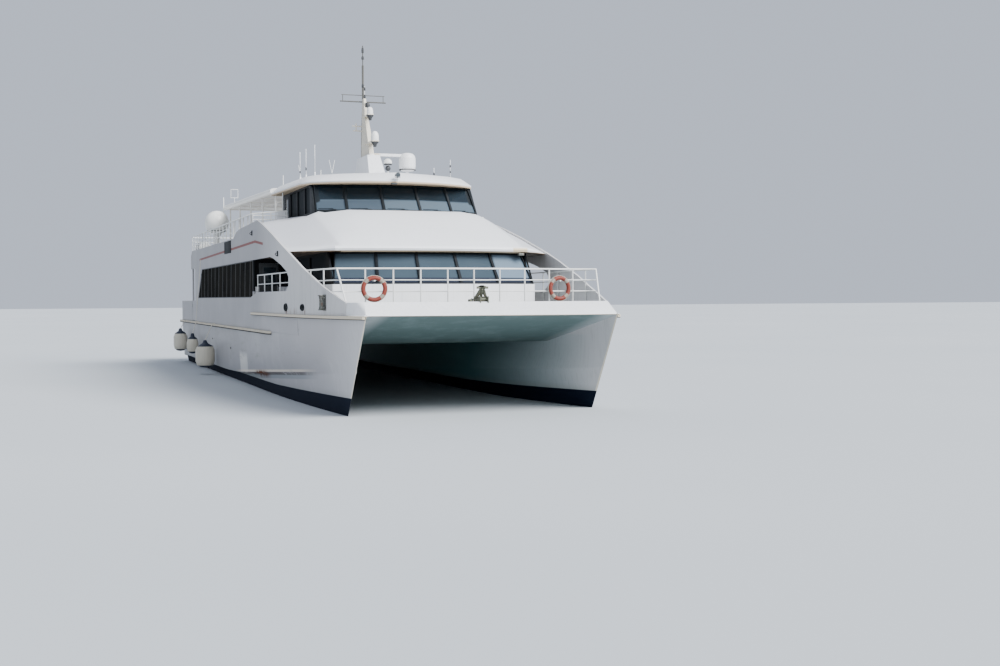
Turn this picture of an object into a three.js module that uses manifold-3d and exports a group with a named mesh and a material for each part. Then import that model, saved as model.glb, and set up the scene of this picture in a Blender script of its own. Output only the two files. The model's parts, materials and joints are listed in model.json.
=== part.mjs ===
// Twin-hull fast passenger ferry, afloat.
// Millimetres. X points forward, Y to port, Z up. The origin is amidships on the centreline at the waterline.

import * as THREE from "three";
import { mergeVertices } from "three/addons/utils/BufferGeometryUtils.js";
import Module from "manifold-3d";

const wasm = await Module();
wasm.setup();

// Driving dimensions of the hulls and decks
const STEM_TOP_X = 19000;
const TRANSOM_X = -18600;
const HALF_BEAM = 4500;
const STEM_Y = 3700;
const KEEL_Z = -1350;
const STERN_RISE = 700;
const MAIN_DECK_Z = 2200;
const FOREDECK_Z = 2830;
const DECK_PLATE = 40;
const FOREDECK_BREAK_X = 13200;
const TUNNEL_ROOF_Z = 1950;
const TUNNEL_KNUCKLE_X = 14700;
const COAMING_TOP_Z = 3220;

// Driving dimensions of the superstructure
const WALL = 70;
const SALOON_AFT_X = -12600;
const SIDE_GLASS_END_X = 5200;
const SALOON_NECK_Y = 3360;
const SALOON_CEILING_Z = 4850;
const UPPER_DECK_Z = 5350;
const UPPER_DECK_AFT_X = -14250;
const BULWARK_TOP_Z = 5750;
const WING_PEAK_Z = 6150;
const UPPER_RAIL_Z = 6450;
const WINDOW_SILL_Z = 3380;
const WINDOW_HEAD_Z = 4750;
const FRONT_SILL_Z = 3770;
const FRONT_HEAD_Z = 4700;

// Driving dimensions of the wheelhouse, its roof and the awning abaft it
const BRIDGE_SILL_Z = 6330;
const BRIDGE_HEAD_Z = 7300;
const BRIDGE_AFT_X = 3000;
const BRIDGE_HALF = 2950;
const ROOF_LIP_Z = 7320;
const ROOF_TOP_Z = 7660;
const AWNING_X = [-10500, 2400];
const AWNING_Z = 7620;
const AWNING_HALF = 3350;
const AWNING_PITCH = 1;

// Running gaps
const SEAM = 0.3;
const DOOR_GAP = 6;

const SIDES = [{ name: "starboard", sign: -1 }, { name: "port", sign: 1 }];
const ferry = new THREE.Group();
const vec = (x, y, z) => new THREE.Vector3(x, y, z);

// Finishes
const finish = (color, roughness, metalness = 0) => ({ color, roughness, metalness });
const WHITE = finish(0xe9ebec, 0.4);
const DECK_GREY = finish(0x8e979b, 0.8);
const GLASS = finish(0x1c242b, 0.1);
const FRAME_BLACK = finish(0x1a1d20, 0.5);
const CREAM = finish(0xcfc6b4, 0.7);
const STEEL = finish(0xb9bcbe, 0.35, 0.9);
const BRONZE = finish(0x9a7b45, 0.4, 0.9);
const NAVY = finish(0x131b2c, 0.6);
const ORANGE = finish(0xc8432c, 0.6);
const SEAT_BLUE = finish(0x2c4468, 0.8);

// Evenly spaced values
const stations = (from, to, count) => {
  return Array.from({ length: count + 1 }, (_, i) => from + ((to - from) * i) / count);
};

// A closed three.js geometry becomes a solid that can be joined and cut
function solid(geometry) {
  const bare = geometry.clone();
  bare.deleteAttribute("normal");
  bare.deleteAttribute("uv");
  const welded = mergeVertices(bare, 0.01);
  const index = Uint32Array.from(welded.index.array);
  const at = welded.attributes.position;
  let volume = 0;
  for (let i = 0; i < index.length; i += 3) {
    const [a, b, c] = [0, 1, 2].map((k) => new THREE.Vector3().fromBufferAttribute(at, index[i + k]));
    volume += a.dot(b.cross(c));
  }
  if (volume < 0) {
    for (let i = 0; i < index.length; i += 3) {
      [index[i + 1], index[i + 2]] = [index[i + 2], index[i + 1]];
    }
  }
  const vertProperties = Float32Array.from(at.array);
  return new wasm.Manifold(new wasm.Mesh({ numProp: 3, vertProperties, triVerts: index }));
}

function geometryOf(body) {
  const mesh = body.getMesh();
  const geometry = new THREE.BufferGeometry();
  geometry.setAttribute("position", new THREE.BufferAttribute(Float32Array.from(mesh.vertProperties), 3));
  geometry.setIndex([...mesh.triVerts]);
  return geometry;
}

// The same solid on the other side of the centreline
function mirrored(body) {
  const geometry = geometryOf(body);
  geometry.scale(1, -1, 1);
  return solid(geometry);
}

const onSide = (body, side) => (side.sign > 0 ? body : mirrored(body));
const joined = (...bodies) => bodies.flat().reduce((sum, body) => sum.add(body));
const moved = (body, x, y, z) => body.translate([x, y, z]);

// Adds one named piece; a piece that turns or repeats is given its place and heading here
function piece(name, body, look, place = {}) {
  const mesh = new THREE.Mesh(geometryOf(body), new THREE.MeshStandardMaterial(look));
  mesh.name = name;
  mesh.position.set(...(place.at ?? [0, 0, 0]));
  mesh.rotation.set(...(place.turn ?? [0, 0, 0]));
  ferry.add(mesh);
}

// Prisms: an outline in plan, in profile (x, z) or in section (y, z)
function extruded(points, depth) {
  const shape = new THREE.Shape(points.map(([a, b]) => new THREE.Vector2(a, b)));
  return new THREE.ExtrudeGeometry(shape, { depth, bevelEnabled: false });
}

const planPrism = (points, z0, z1) => solid(extruded(points, z1 - z0).translate(0, 0, z0));
const profilePrism = (points, y0, y1) => {
  return solid(extruded(points, y1 - y0).rotateX(Math.PI / 2).translate(0, y1, 0));
};

function sectionPrism(points, x0, x1) {
  const geometry = extruded(points, x1 - x0);
  geometry.applyMatrix4(new THREE.Matrix4().makeBasis(vec(0, 1, 0), vec(0, 0, 1), vec(1, 0, 0)));
  return solid(geometry.translate(x0, 0, 0));
}

function block([x0, x1], [y0, y1], [z0, z1]) {
  const geometry = new THREE.BoxGeometry(x1 - x0, y1 - y0, z1 - z0);
  return solid(geometry.translate((x0 + x1) / 2, (y0 + y1) / 2, (z0 + z1) / 2));
}

// A straight bar of round section between two points
function bar(a, b, radius, sides = 6) {
  const [from, to] = [vec(...a), vec(...b)];
  const along = to.clone().sub(from);
  const geometry = new THREE.CylinderGeometry(radius, radius, along.length(), sides);
  const heading = along.clone().normalize();
  geometry.applyQuaternion(new THREE.Quaternion().setFromUnitVectors(vec(0, 1, 0), heading));
  const middle = from.add(to).multiplyScalar(0.5);
  return solid(geometry.translate(middle.x, middle.y, middle.z));
}

// A bent pipe, mitred at each bend
function pipe(points, radius, sides = 6) {
  const path = points.map((point) => vec(...point));
  const runs = path.slice(1).map((point, i) => point.clone().sub(path[i]).normalize());
  const aside = Math.abs(runs[0].z) > 0.8 ? vec(1, 0, 0) : vec(0, 0, 1);
  const across = new THREE.Vector3().crossVectors(runs[0], aside).normalize().multiplyScalar(radius);
  const up = new THREE.Vector3().crossVectors(across, runs[0]);
  const rings = [stations(0, 2 * Math.PI, sides).slice(1).map((angle) => {
    return path[0].clone().addScaledVector(across, Math.cos(angle)).addScaledVector(up, Math.sin(angle));
  })];
  runs.forEach((run, i) => {
    const facing = i + 1 < runs.length ? run.clone().add(runs[i + 1]).normalize() : run;
    rings.push(rings[i].map((point) => {
      const left = path[i + 1].clone().sub(point).dot(facing) / run.dot(facing);
      return point.clone().addScaledVector(run, left);
    }));
  });
  return loft(rings);
}

// A long hinge on a door: its barrel stands just proud of the wall beside the door, and a bent strap runs
// from it onto the leaf. Along and out are the directions from the barrel to the leaf and away from the wall
const HINGE = { radius: 12, off: 12.5, beside: 14, strap: 70 };
function doorHinge([x, y], along, out, [z0, z1]) {
  const at = (a, o) => [x + along[0] * a + out[0] * o, y + along[1] * a + out[1] * o];
  const strap = [at(0, -5), at(HINGE.strap, -5), at(HINGE.strap, 5), at(0, 5)];
  const foot = [at(30, -25), at(HINGE.strap, -25), at(HINGE.strap, 5), at(30, 5)];
  const barrel = bar([x, y, z0], [x, y, z1], HINGE.radius, 8);
  return joined(barrel, planPrism(strap, z0, z1), planPrism(foot, z0, z1));
}

// A turned shape about a vertical axis, from (radius, height) pairs that start and end on the axis
function turned(profile, at, sides = 24) {
  const points = profile.map(([r, h]) => new THREE.Vector2(r, h));
  return solid(new THREE.LatheGeometry(points, sides).rotateX(Math.PI / 2).translate(...at));
}

// A closed skin through rings that have the same number of points. Each end is closed by a ladder of
// triangles between the ring's two halves, so a ring runs out along one side and back along the other
function loft(rings) {
  const count = rings[0].length;
  const triangles = [];
  for (let r = 0; r + 1 < rings.length; r += 1) {
    for (let i = 0; i < count; i += 1) {
      const [a, b] = [r * count + i, r * count + ((i + 1) % count)];
      triangles.push([a, b, b + count], [a, b + count, a + count]);
    }
  }
  const last = (rings.length - 1) * count;
  for (let i = 0, j = count - 1; i + 1 < j; i += 1, j -= 1) {
    triangles.push([i + 1, i, j], [last + i, last + i + 1, last + j]);
    if (i + 1 < j - 1) triangles.push([j - 1, i + 1, j], [last + i + 1, last + j - 1, last + j]);
  }
  const positions = rings.flat().flatMap((p) => [p.x, p.y, p.z]);
  const geometry = new THREE.BufferGeometry();
  geometry.setAttribute("position", new THREE.BufferAttribute(new Float32Array(positions), 3));
  geometry.setIndex(triangles.flat());
  return solid(geometry);
}

// Hull form. Each row is a level line from the keel up: its height, the place of the stem on it (x, y), the
// outer and inner half breadths of the parallel body, the lengths over which the two sides run in to the
// stem, how full the entries are, and how far the line climbs towards the stern and towards the bow.
const HULL_LEVELS = [
  [KEEL_Z, [14400, 3600], [3520, 3380], [6000, 6000], 2, [STERN_RISE, 0]],
  [-1100, [15500, 3680], [3850, 3050], [8500, 7000], 2, [560, 0]],
  [-600, [16450, 3740], [4080, 2800], [9500, 7000], 2, [250, 0]],
  [0, [17040, 3760], [4180, 2700], [10500, 7000], 2, [0, 0]],
  [290, [17885, 3738], [4250, 2680], [11400, 7000], 2, [0, 930]],
  [345, [17923, 3736], [4400, 2570], [14400, 7200], 2, [0, 930]],
  [1250, [18113, 3731], [4450, 2580], [10800, 10000], 2.3, [0, 300]],
  [MAIN_DECK_Z, [18565, 3712], [HALF_BEAM, 2600], [10000, 15500], 2.9, [0, 0]],
  [FOREDECK_Z, [STEM_TOP_X, STEM_Y], [HALF_BEAM, 2600], [10000, 15500], 2.9, [0, 0]],
].map(([z, [stem, stemY], [outer, inner], [outRun, inRun], full, [aft, fore]]) => {
  return { z, stem, stemY, outer, inner, outRun, inRun, full, aft, fore };
});
const HULL_STATIONS = [0, 0.12, 0.25, 0.42, 0.58, 0.68, 0.76, 0.83, 0.88, 0.92, 0.955, 0.98];
const INNER_FULLNESS = 1.7;

// Half breadth at a place on a level line: parallel aft, then running in to the stem
const runIn = (parallel, x, { stem, stemY }, length, full) => {
  const t = Math.min(1, (stem - x) / length);
  return stemY + (parallel - stemY) * (1 - (1 - t) ** full);
};

const DECK_LEVEL = HULL_LEVELS.at(-1);
const deckEdge = (x) => runIn(HALF_BEAM, x, DECK_LEVEL, DECK_LEVEL.outRun, DECK_LEVEL.full);

function hullRing(level) {
  const station = (s) => TRANSOM_X + (level.stem - TRANSOM_X) * s;
  const height = (s) => {
    return level.z + level.aft * Math.max(0, 1 - s / 0.4) ** 1.5 + level.fore * Math.max(0, (s - 0.5) * 2);
  };
  const outer = HULL_STATIONS.map((s) => {
    return vec(station(s), runIn(level.outer, station(s), level, level.outRun, level.full), height(s));
  });
  const inner = HULL_STATIONS.map((s) => {
    return vec(station(s), runIn(level.inner, station(s), level, level.inRun, INNER_FULLNESS), height(s));
  });
  return [...outer, vec(level.stem, level.stemY, height(1)), ...inner.reverse()];
}

const wholeHull = loft(HULL_LEVELS.map(hullRing));

// Rudder and propeller places, shared by the hull's bores and the stern gear
const PROP = { x: -17250, y: 3450, z: -1160, radius: 400, hub: 105 };
const RUDDER = { x: -18050, stock: 60, top: -560, bottom: -1560 };
const SHAFT_RADIUS = 45;

const aboveMainDeck = block([TRANSOM_X - 100, FOREDECK_BREAK_X], [0, 5000], [MAIN_DECK_Z, 4000]);
const rudderBore = moved(bar([0, 0, -1000], [0, 0, 0], RUDDER.stock + 0.9, 24), RUDDER.x, PROP.y, 0);
const portHull = wholeHull.subtract(aboveMainDeck).subtract(rudderBore);

// Bridging structure between the hulls: the tunnel roof, whose front slopes up to the bow
const bridgeProfile = [
  [TRANSOM_X, TUNNEL_ROOF_Z], [TUNNEL_KNUCKLE_X, TUNNEL_ROOF_Z], [STEM_TOP_X - 30, FOREDECK_Z],
  [FOREDECK_BREAK_X, FOREDECK_Z], [FOREDECK_BREAK_X, MAIN_DECK_Z], [TRANSOM_X, MAIN_DECK_Z],
];
const towardsCentre = moved(wholeHull, 0, -SEAM, 0);
const bridging = profilePrism(bridgeProfile, 0, STEM_Y).subtract(towardsCentre);
piece("bridge_deck", bridging.add(mirrored(bridging)), WHITE);

// Deck plates. The outline of the foredeck follows the ship's side, inside the walls
const edgeStrip = (xs, outside, inside) => [
  ...xs.map((x) => [x, deckEdge(x) + outside]),
  ...[...xs].reverse().map((x) => [x, deckEdge(x) + inside]),
];

const COAMING_AFT_X = 17700;
const SIDE_STATIONS = [SIDE_GLASS_END_X + SEAM, ...stations(9000, COAMING_AFT_X, 9)];
const COAMING_RAKE = 500;
const COAMING_THICK = 90;
const innerEdge = SIDE_STATIONS.map((x) => [x, deckEdge(x) - WALL - SEAM]);
const foredeckHalf = [
  [SIDE_GLASS_END_X + SEAM, SALOON_NECK_Y + SEAM], [FOREDECK_BREAK_X - 5, SALOON_NECK_Y + SEAM],
  [FOREDECK_BREAK_X - 5, 0], [18300, 0], [18300, 3460],
  [COAMING_AFT_X + 5, deckEdge(COAMING_AFT_X) - WALL - 60], ...innerEdge.reverse(),
];
const foredeckPlate = planPrism(foredeckHalf, FOREDECK_Z + SEAM, FOREDECK_Z + DECK_PLATE);

// A raised frame that a hatch lid closes on
function hatchCoaming([x0, x1], [y0, y1], base, height) {
  const outside = block([x0, x1], [y0, y1], [base, base + height]);
  return outside.subtract(block([x0 + 50, x1 - 50], [y0 + 50, y1 - 50], [base + 10, base + height + 1]));
}

// Mooring bitts, twin posts on a plate, welded to the deck plates
function bitts(x, y, z) {
  const posts = [-170, 170].map((along) => {
    return turned([[0, 0], [85, 0], [85, 300], [110, 320], [110, 350], [0, 350]], [x + along, y, z - 20], 12);
  });
  return joined(block([x - 300, x + 300], [y - 130, y + 130], [z - 20, z + 25]), posts);
}

const FORE_HATCH = { x: [15000, 15800], y: [1300, 2100], height: 120 };
const foreHatch = hatchCoaming(FORE_HATCH.x, FORE_HATCH.y, FOREDECK_Z + 5, FORE_HATCH.height + DECK_PLATE);
const foredeck = joined(foredeckPlate, foreHatch, bitts(13900, 3650, FOREDECK_Z + DECK_PLATE));
piece("foredeck", foredeck.add(mirrored(foredeck)), DECK_GREY);

// Main deck, with a raised landing for the gangway inside each boarding gate
const GATE = { x: [-13950, -12850] };
const LANDING = { y: [3650, 4330], height: 12, short: 100 };
const mainDeckPlate = planPrism([
  [TRANSOM_X, 0], [FOREDECK_BREAK_X - 5, 0], [FOREDECK_BREAK_X - 5, HALF_BEAM - 200],
  [9000, HALF_BEAM - WALL - SEAM], [SALOON_AFT_X, HALF_BEAM - WALL - SEAM],
  [SALOON_AFT_X, HALF_BEAM - 5], [TRANSOM_X, HALF_BEAM - 5],
], MAIN_DECK_Z + SEAM, MAIN_DECK_Z + DECK_PLATE);
const landing = block([GATE.x[0] + LANDING.short, GATE.x[1] - LANDING.short], LANDING.y,
  [MAIN_DECK_Z + 10, MAIN_DECK_Z + DECK_PLATE + LANDING.height]);
const mainDeck = joined(mainDeckPlate, landing, bitts(-18000, 3600, MAIN_DECK_Z + DECK_PLATE));
piece("main_deck", mainDeck.add(mirrored(mainDeck)), DECK_GREY);

// Bow coaming: a band round the bow that leans back, between the two wings
function coamingRing(z, back, inset) {
  const half = [
    [COAMING_AFT_X + SEAM, deckEdge(COAMING_AFT_X) - inset], [18400 - back * 0.7, deckEdge(18400) - inset],
    [STEM_TOP_X - back - inset * 0.7, STEM_Y - back * 0.12 - inset],
  ];
  const port = half.map(([x, y]) => vec(x, y, z));
  const starboard = half.map(([x, y]) => vec(x, -y, z)).reverse();
  return [...port, ...starboard];
}
const coamingBase = FOREDECK_Z + SEAM;
const coamingBlock = loft([coamingRing(coamingBase, 0, 0), coamingRing(COAMING_TOP_Z, COAMING_RAKE, 20)]);
const coamingWell = loft([
  coamingRing(coamingBase - 5, 560, COAMING_THICK + 40),
  coamingRing(COAMING_TOP_Z + 5, 620, COAMING_THICK + 40),
]);
const openAft = block([COAMING_AFT_X - 50, COAMING_AFT_X + 200], [-3800, 3800],
  [coamingBase - 5, COAMING_TOP_Z + 5]);
const deckRoom = moved(foredeckPlate.add(mirrored(foredeckPlate)), SEAM, 0, 0);
const deckSweep = deckRoom.add(moved(deckRoom, 0, 0, -20));
const coaming = coamingBlock.subtract(coamingWell).subtract(openAft).subtract(deckSweep);
const rubStations = [5130, ...stations(9000, 18950, 10)];
const rubRail = planPrism(edgeStrip(rubStations, 95, SEAM + 5), 2735, FOREDECK_Z + 10);
const rubRoot = planPrism(edgeStrip(stations(18000, 18980, 3), 60, -20), FOREDECK_Z + SEAM, FOREDECK_Z + 30);
const bandHalf = rubRail.add(rubRoot);
piece("bow_band", joined(coaming, bandHalf, mirrored(bandHalf)), WHITE);

// Ship's side above the hull: a flush wall with the window band aft, and the wing that sweeps down to the bow
const WALL_BASE = MAIN_DECK_Z + SEAM;
const AFT_BULWARK_Z = 3250;
const aftDeckTop = MAIN_DECK_Z + DECK_PLATE + SEAM;
const SIDE_WINDOW = [
  [-11400, WINDOW_SILL_Z], [4640, WINDOW_SILL_Z], [SIDE_GLASS_END_X - 90, 3450],
  [SIDE_GLASS_END_X - 90, WINDOW_HEAD_Z], [-9900, WINDOW_HEAD_Z],
];
const WING_HOLE = [
  [SIDE_GLASS_END_X + 110, 3480], [5950, 3570], [11560, 3575], [11960, 3740], [12080, 3950], [11750, 4190],
  [10900, 4410], [9500, 4670], [8750, WINDOW_HEAD_Z], [SIDE_GLASS_END_X + 110, WINDOW_HEAD_Z],
];
// Upper edge of the wing, from its foot at the bow to its peak beside the wheelhouse
const WING_EDGE = [
  [COAMING_AFT_X, COAMING_TOP_Z], [16920, 3420], [15850, 3690], [14880, 3985], [13760, 4300], [12950, 4540],
  [11920, 4820], [10780, 5110], [9230, 5500], [7700, 5850], [6700, 6060], [6200, WING_PEAK_Z],
];
const FAIRLEADS = [{ x: 11600, z: 3055 }, { x: 13850, z: 3060 }];

const wingPlan = edgeStrip(SIDE_STATIONS, 0, -WALL);
const wingProfile = [
  [SIDE_GLASS_END_X, WALL_BASE], [FOREDECK_BREAK_X, WALL_BASE], [FOREDECK_BREAK_X, FOREDECK_Z + SEAM],
  [COAMING_AFT_X, FOREDECK_Z + SEAM], ...WING_EDGE, [SIDE_GLASS_END_X, 6120],
];
const fairleadHoles = FAIRLEADS.map(({ x, z }) => block([x - 130, x + 130], [4000, 5000], [z - 95, z + 95]));
const wing = planPrism(wingPlan, MAIN_DECK_Z, 6500)
  .intersect(profilePrism(wingProfile, 3000, 5000))
  .subtract(profilePrism(WING_HOLE, 3000, 5000))
  .subtract(joined(fairleadHoles));

const sideWall = profilePrism([
  [SALOON_AFT_X, WALL_BASE], [SIDE_GLASS_END_X, WALL_BASE], [SIDE_GLASS_END_X, UPPER_DECK_Z],
  [SALOON_AFT_X, UPPER_DECK_Z],
], HALF_BEAM - WALL, HALF_BEAM).subtract(profilePrism(SIDE_WINDOW, 3000, 5000));

const inset = (points, gap) => {
  const middle = (k) => points.reduce((sum, point) => sum + point[k], 0) / points.length;
  const [x0, z0] = [middle(0), middle(1)];
  return points.map(([x, z]) => [x - Math.sign(x - x0) * gap * 2, z - Math.sign(z - z0) * gap]);
};
const sideGlass = profilePrism(inset(SIDE_WINDOW, SEAM), HALF_BEAM - 55, HALF_BEAM - 30);

// Upper bulwark on the edge of the upper deck, rising forward to meet the wing's peak
const bulwark = profilePrism([
  [UPPER_DECK_AFT_X, SALOON_CEILING_Z], [SALOON_AFT_X + 10, SALOON_CEILING_Z],
  [SALOON_AFT_X + 10, UPPER_DECK_Z - 10], [SIDE_GLASS_END_X, UPPER_DECK_Z - 10], [SIDE_GLASS_END_X, 6120],
  [2000, 6040], [1200, 5960], [400, BULWARK_TOP_Z],
  [UPPER_DECK_AFT_X + 500, BULWARK_TOP_Z], [UPPER_DECK_AFT_X, 5500],
], HALF_BEAM - 60, HALF_BEAM);
const gatePost = block([GATE.x[1], SALOON_AFT_X + 5], [HALF_BEAM - 60, HALF_BEAM - 8],
  [aftDeckTop, AFT_BULWARK_Z]);
const wholeSide = joined(sideWall, bulwark, gatePost);

for (const side of SIDES) {
  piece(`wing_${side.name}`, onSide(wing, side), WHITE);
  piece(`side_wall_${side.name}`, onSide(wholeSide, side), WHITE);
  piece(`side_glass_${side.name}`, onSide(sideGlass, side), GLASS);
}

// Fender round the after body at deck level
const FENDER_RAIL = { proud: 110, z: [2110, 2230] };
const lowerFender = planPrism([
  [TRANSOM_X - 60, HALF_BEAM + SEAM], [9000, HALF_BEAM + SEAM], [8850, HALF_BEAM + FENDER_RAIL.proud],
  [TRANSOM_X - 60, HALF_BEAM + FENDER_RAIL.proud],
], ...FENDER_RAIL.z);
const sternFender = block([TRANSOM_X - FENDER_RAIL.proud, TRANSOM_X - SEAM],
  [-HALF_BEAM - FENDER_RAIL.proud, HALF_BEAM + FENDER_RAIL.proud], FENDER_RAIL.z);
piece("fender_rail", joined(lowerFender, mirrored(lowerFender), sternFender), CREAM);

// Saloon front: a bowed wall under raked windows, five panes wide
const FRONT_BAYS = [-3330, -2000, -670, 670, 2000, 3330];
const FRONT_BOW = 600;
const FRONT_CORNER_X = 13380;
const FRONT_RAKE = { x: 710, narrow: 3140 / 3330 };

// Plan ring of the front, out to a depth behind its outer face; back is how far the ring leans aft
function frontRing(z, back, narrow, near, far) {
  const bow = (y) => FRONT_BOW * (1 - (y / FRONT_BAYS[5]) ** 2);
  const face = (y, behind) => vec(FRONT_CORNER_X + bow(y) - back - behind, y * narrow, z);
  return [...FRONT_BAYS.map((y) => face(y, near)), ...[...FRONT_BAYS].reverse().map((y) => face(y, far))];
}
const foredeckTop = FOREDECK_Z + DECK_PLATE + SEAM;
const LIP_Z = 4790;
const ceiling = LIP_Z - SEAM;
const saloonFrontWall = loft([
  frontRing(foredeckTop, 0, 1, 0, WALL), frontRing(FRONT_SILL_Z, 0, 1, 0, WALL),
]);

const frontFrameBase = frontRing(FRONT_SILL_Z + SEAM, 0, 1, 0, WALL);
const frontFrameTop = frontRing(ceiling, FRONT_RAKE.x, FRONT_RAKE.narrow, 0, WALL);
const MULLION = 90;
const GLASS_NARROW = 0.99;
const frontPanes = FRONT_BAYS.slice(1).map((y1, i) => {
  const [a, b] = [FRONT_BAYS[i] + MULLION / 2, y1 - MULLION / 2];
  const [low, high] = [FRONT_SILL_Z + 50, ceiling - 60];
  const narrow = 0.95;
  return sectionPrism([[a, low], [b, low], [b * narrow, high], [a * narrow, high]], 12000, 15000);
});
piece("saloon_front_frame", loft([frontFrameBase, frontFrameTop]).subtract(joined(frontPanes)), FRAME_BLACK);
const saloonFrontGlass = loft([
  frontRing(FRONT_SILL_Z + SEAM, 0, GLASS_NARROW, WALL + SEAM, WALL + 21),
  frontRing(ceiling, FRONT_RAKE.x, FRONT_RAKE.narrow * GLASS_NARROW, WALL + SEAM, WALL + 21),
]);

// Inboard walls beside the covered side decks, their fore end raked like the front windows
const neckProfile = [
  [SIDE_GLASS_END_X + SEAM, aftDeckTop], [FOREDECK_BREAK_X - 10, aftDeckTop],
  [FOREDECK_BREAK_X - 10, foredeckTop],
  [13370, foredeckTop], [13370, FRONT_SILL_Z], [13305, FRONT_SILL_Z], [12595, ceiling],
  [SIDE_GLASS_END_X + SEAM, ceiling],
];
const neckPanes = [[5600, 7100], [7250, 9750], [9900, 12350]];
const neckHoles = neckPanes.map(([x0, x1]) => block([x0, x1], [3000, 4000], [FRONT_SILL_Z, FRONT_HEAD_Z]));
const neckWall = profilePrism(neckProfile, SALOON_NECK_Y - 60, SALOON_NECK_Y).subtract(joined(neckHoles));
const neckGlass = profilePrism([
  [5500, FRONT_SILL_Z - 60], [13290, FRONT_SILL_Z - 60], [13290, FRONT_SILL_Z + 20],
  [12590, FRONT_HEAD_Z + 60], [5500, FRONT_HEAD_Z + 60],
], SALOON_NECK_Y - 82, SALOON_NECK_Y - 60 - SEAM);

// Bulkhead where the saloon narrows, with the door to the side deck
const NECK_DOOR = { y: [3560, 4260], z: [FOREDECK_Z + 60, 4640] };
const neckBulkhead = block([SIDE_GLASS_END_X + SEAM, SIDE_GLASS_END_X + WALL],
  [SALOON_NECK_Y - 60, HALF_BEAM - WALL - SEAM], [foredeckTop, ceiling])
  .subtract(block([0, 9000], NECK_DOOR.y, NECK_DOOR.z));
const neckDoorZ = [NECK_DOOR.z[0] + DOOR_GAP, NECK_DOOR.z[1] - DOOR_GAP];
const neckHinge = [SIDE_GLASS_END_X + WALL + HINGE.off, NECK_DOOR.y[1] + HINGE.beside];
const neckDoor = block([SIDE_GLASS_END_X + 20, SIDE_GLASS_END_X + 60],
  [NECK_DOOR.y[0] + DOOR_GAP * 2, NECK_DOOR.y[1] - DOOR_GAP], neckDoorZ)
  .add(doorHinge(neckHinge, [0, -1], [1, 0], neckDoorZ));
const neck = neckWall.add(neckBulkhead);
piece("saloon_fore_wall", joined(saloonFrontWall, neck, mirrored(neck)), WHITE);
piece("saloon_fore_glass", joined(saloonFrontGlass, neckGlass, mirrored(neckGlass)), GLASS);
for (const side of SIDES) piece(`neck_door_${side.name}`, onSide(neckDoor, side), WHITE);

// After wall of the saloon, with a pair of doors
const AFT_DOOR = { y: 850, z: [MAIN_DECK_Z + 70, 4300] };
const aftWallHalf = block([SALOON_AFT_X + SEAM, SALOON_AFT_X + WALL], [0, HALF_BEAM - WALL - SEAM],
  [MAIN_DECK_Z + DECK_PLATE + SEAM, SALOON_CEILING_Z - SEAM])
  .subtract(block([SALOON_AFT_X - 500, SALOON_AFT_X + 500], [-1, AFT_DOOR.y], AFT_DOOR.z));
piece("saloon_aft_wall", aftWallHalf.add(mirrored(aftWallHalf)), WHITE);
const aftDoorZ = [AFT_DOOR.z[0] + DOOR_GAP, AFT_DOOR.z[1] - DOOR_GAP];
const aftHinge = [SALOON_AFT_X + SEAM - HINGE.off, AFT_DOOR.y + HINGE.beside];
const aftDoor = block([SALOON_AFT_X + 6, SALOON_AFT_X + 50], [DOOR_GAP, AFT_DOOR.y - DOOR_GAP], aftDoorZ)
  .add(doorHinge(aftHinge, [0, -1], [-1, 0], aftDoorZ));
for (const side of SIDES) piece(`aft_door_${side.name}`, onSide(aftDoor, side), GLASS);

// Upper deck, the ceiling of the saloon, as far forward as the sloping front roof
const upperDeckEnd = SIDE_GLASS_END_X;
piece("upper_deck", block([UPPER_DECK_AFT_X + SEAM, upperDeckEnd],
  [-HALF_BEAM + WALL + SEAM, HALF_BEAM - WALL - SEAM], [SALOON_CEILING_Z, UPPER_DECK_Z]), WHITE);

// Sloping front roof between the wings, with a rounded lip over the saloon windows, cut out for the
// wheelhouse. Each line is a profile of its underside, lip and slope at one distance from the centreline
const ROOF_AFT_X = upperDeckEnd + SEAM;
function roofSlope(offset) {
  return [
    [ROOF_AFT_X, LIP_Z], [12950 + offset, LIP_Z], [13050 + offset, 4830], [13080 + offset, 4900],
    [13020 + offset, 4975], [12600 + offset, 5200], [11700 + offset, 5600], [10700 + offset * 0.8, 6000],
    [9900 + offset * 0.7, 6280], [9600 + offset * 0.5, BRIDGE_SILL_Z], [8500, BRIDGE_SILL_Z - 20],
    [7000, 6270], [ROOF_AFT_X, 6220],
  ];
}
// The shoulders turn down along a crease and fall to just under the upper edge of each wing
const ROOF_BROW = [
  [ROOF_AFT_X, LIP_Z], [13030, LIP_Z], [13130, 4830], [13160, 4900], [13100, 4975], [12700, 5190],
  [11750, 5520], [10700, 5830], [9950, 6050], [9350, 6230], [8950, 6310], [7000, 6270], [ROOF_AFT_X, 6220],
];
const SHOULDER_TOP = [
  [ROOF_AFT_X, LIP_Z], [12960, LIP_Z], [13060, 4830], [13090, 4900], [13030, 4975], [12500, 5140],
  [11600, 5400], [10700, 5690], [9900, 5920], [9300, 6080], [8700, 6160], [7000, 6240], [ROOF_AFT_X, 6190],
];
const SHOULDER_MIDDLE = [
  [ROOF_AFT_X, LIP_Z], [12243, LIP_Z], [12350, 4812], [12370, 4850], [12300, 4890], [11800, 5020],
  [11000, 5220], [10200, 5430], [9300, 5670], [8500, 5860], [7700, 6010], [6800, 6130], [ROOF_AFT_X, 6130],
];
const SHOULDER_FOOT = [
  [ROOF_AFT_X, LIP_Z], [11550, LIP_Z], [11650, 4800], [11660, 4812], [11500, 4860], [11000, 4985],
  [10400, 5135], [9500, 5370], [8700, 5555], [8000, 5715], [7300, 5865], [6500, 6025], [ROOF_AFT_X, 6030],
];
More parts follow.
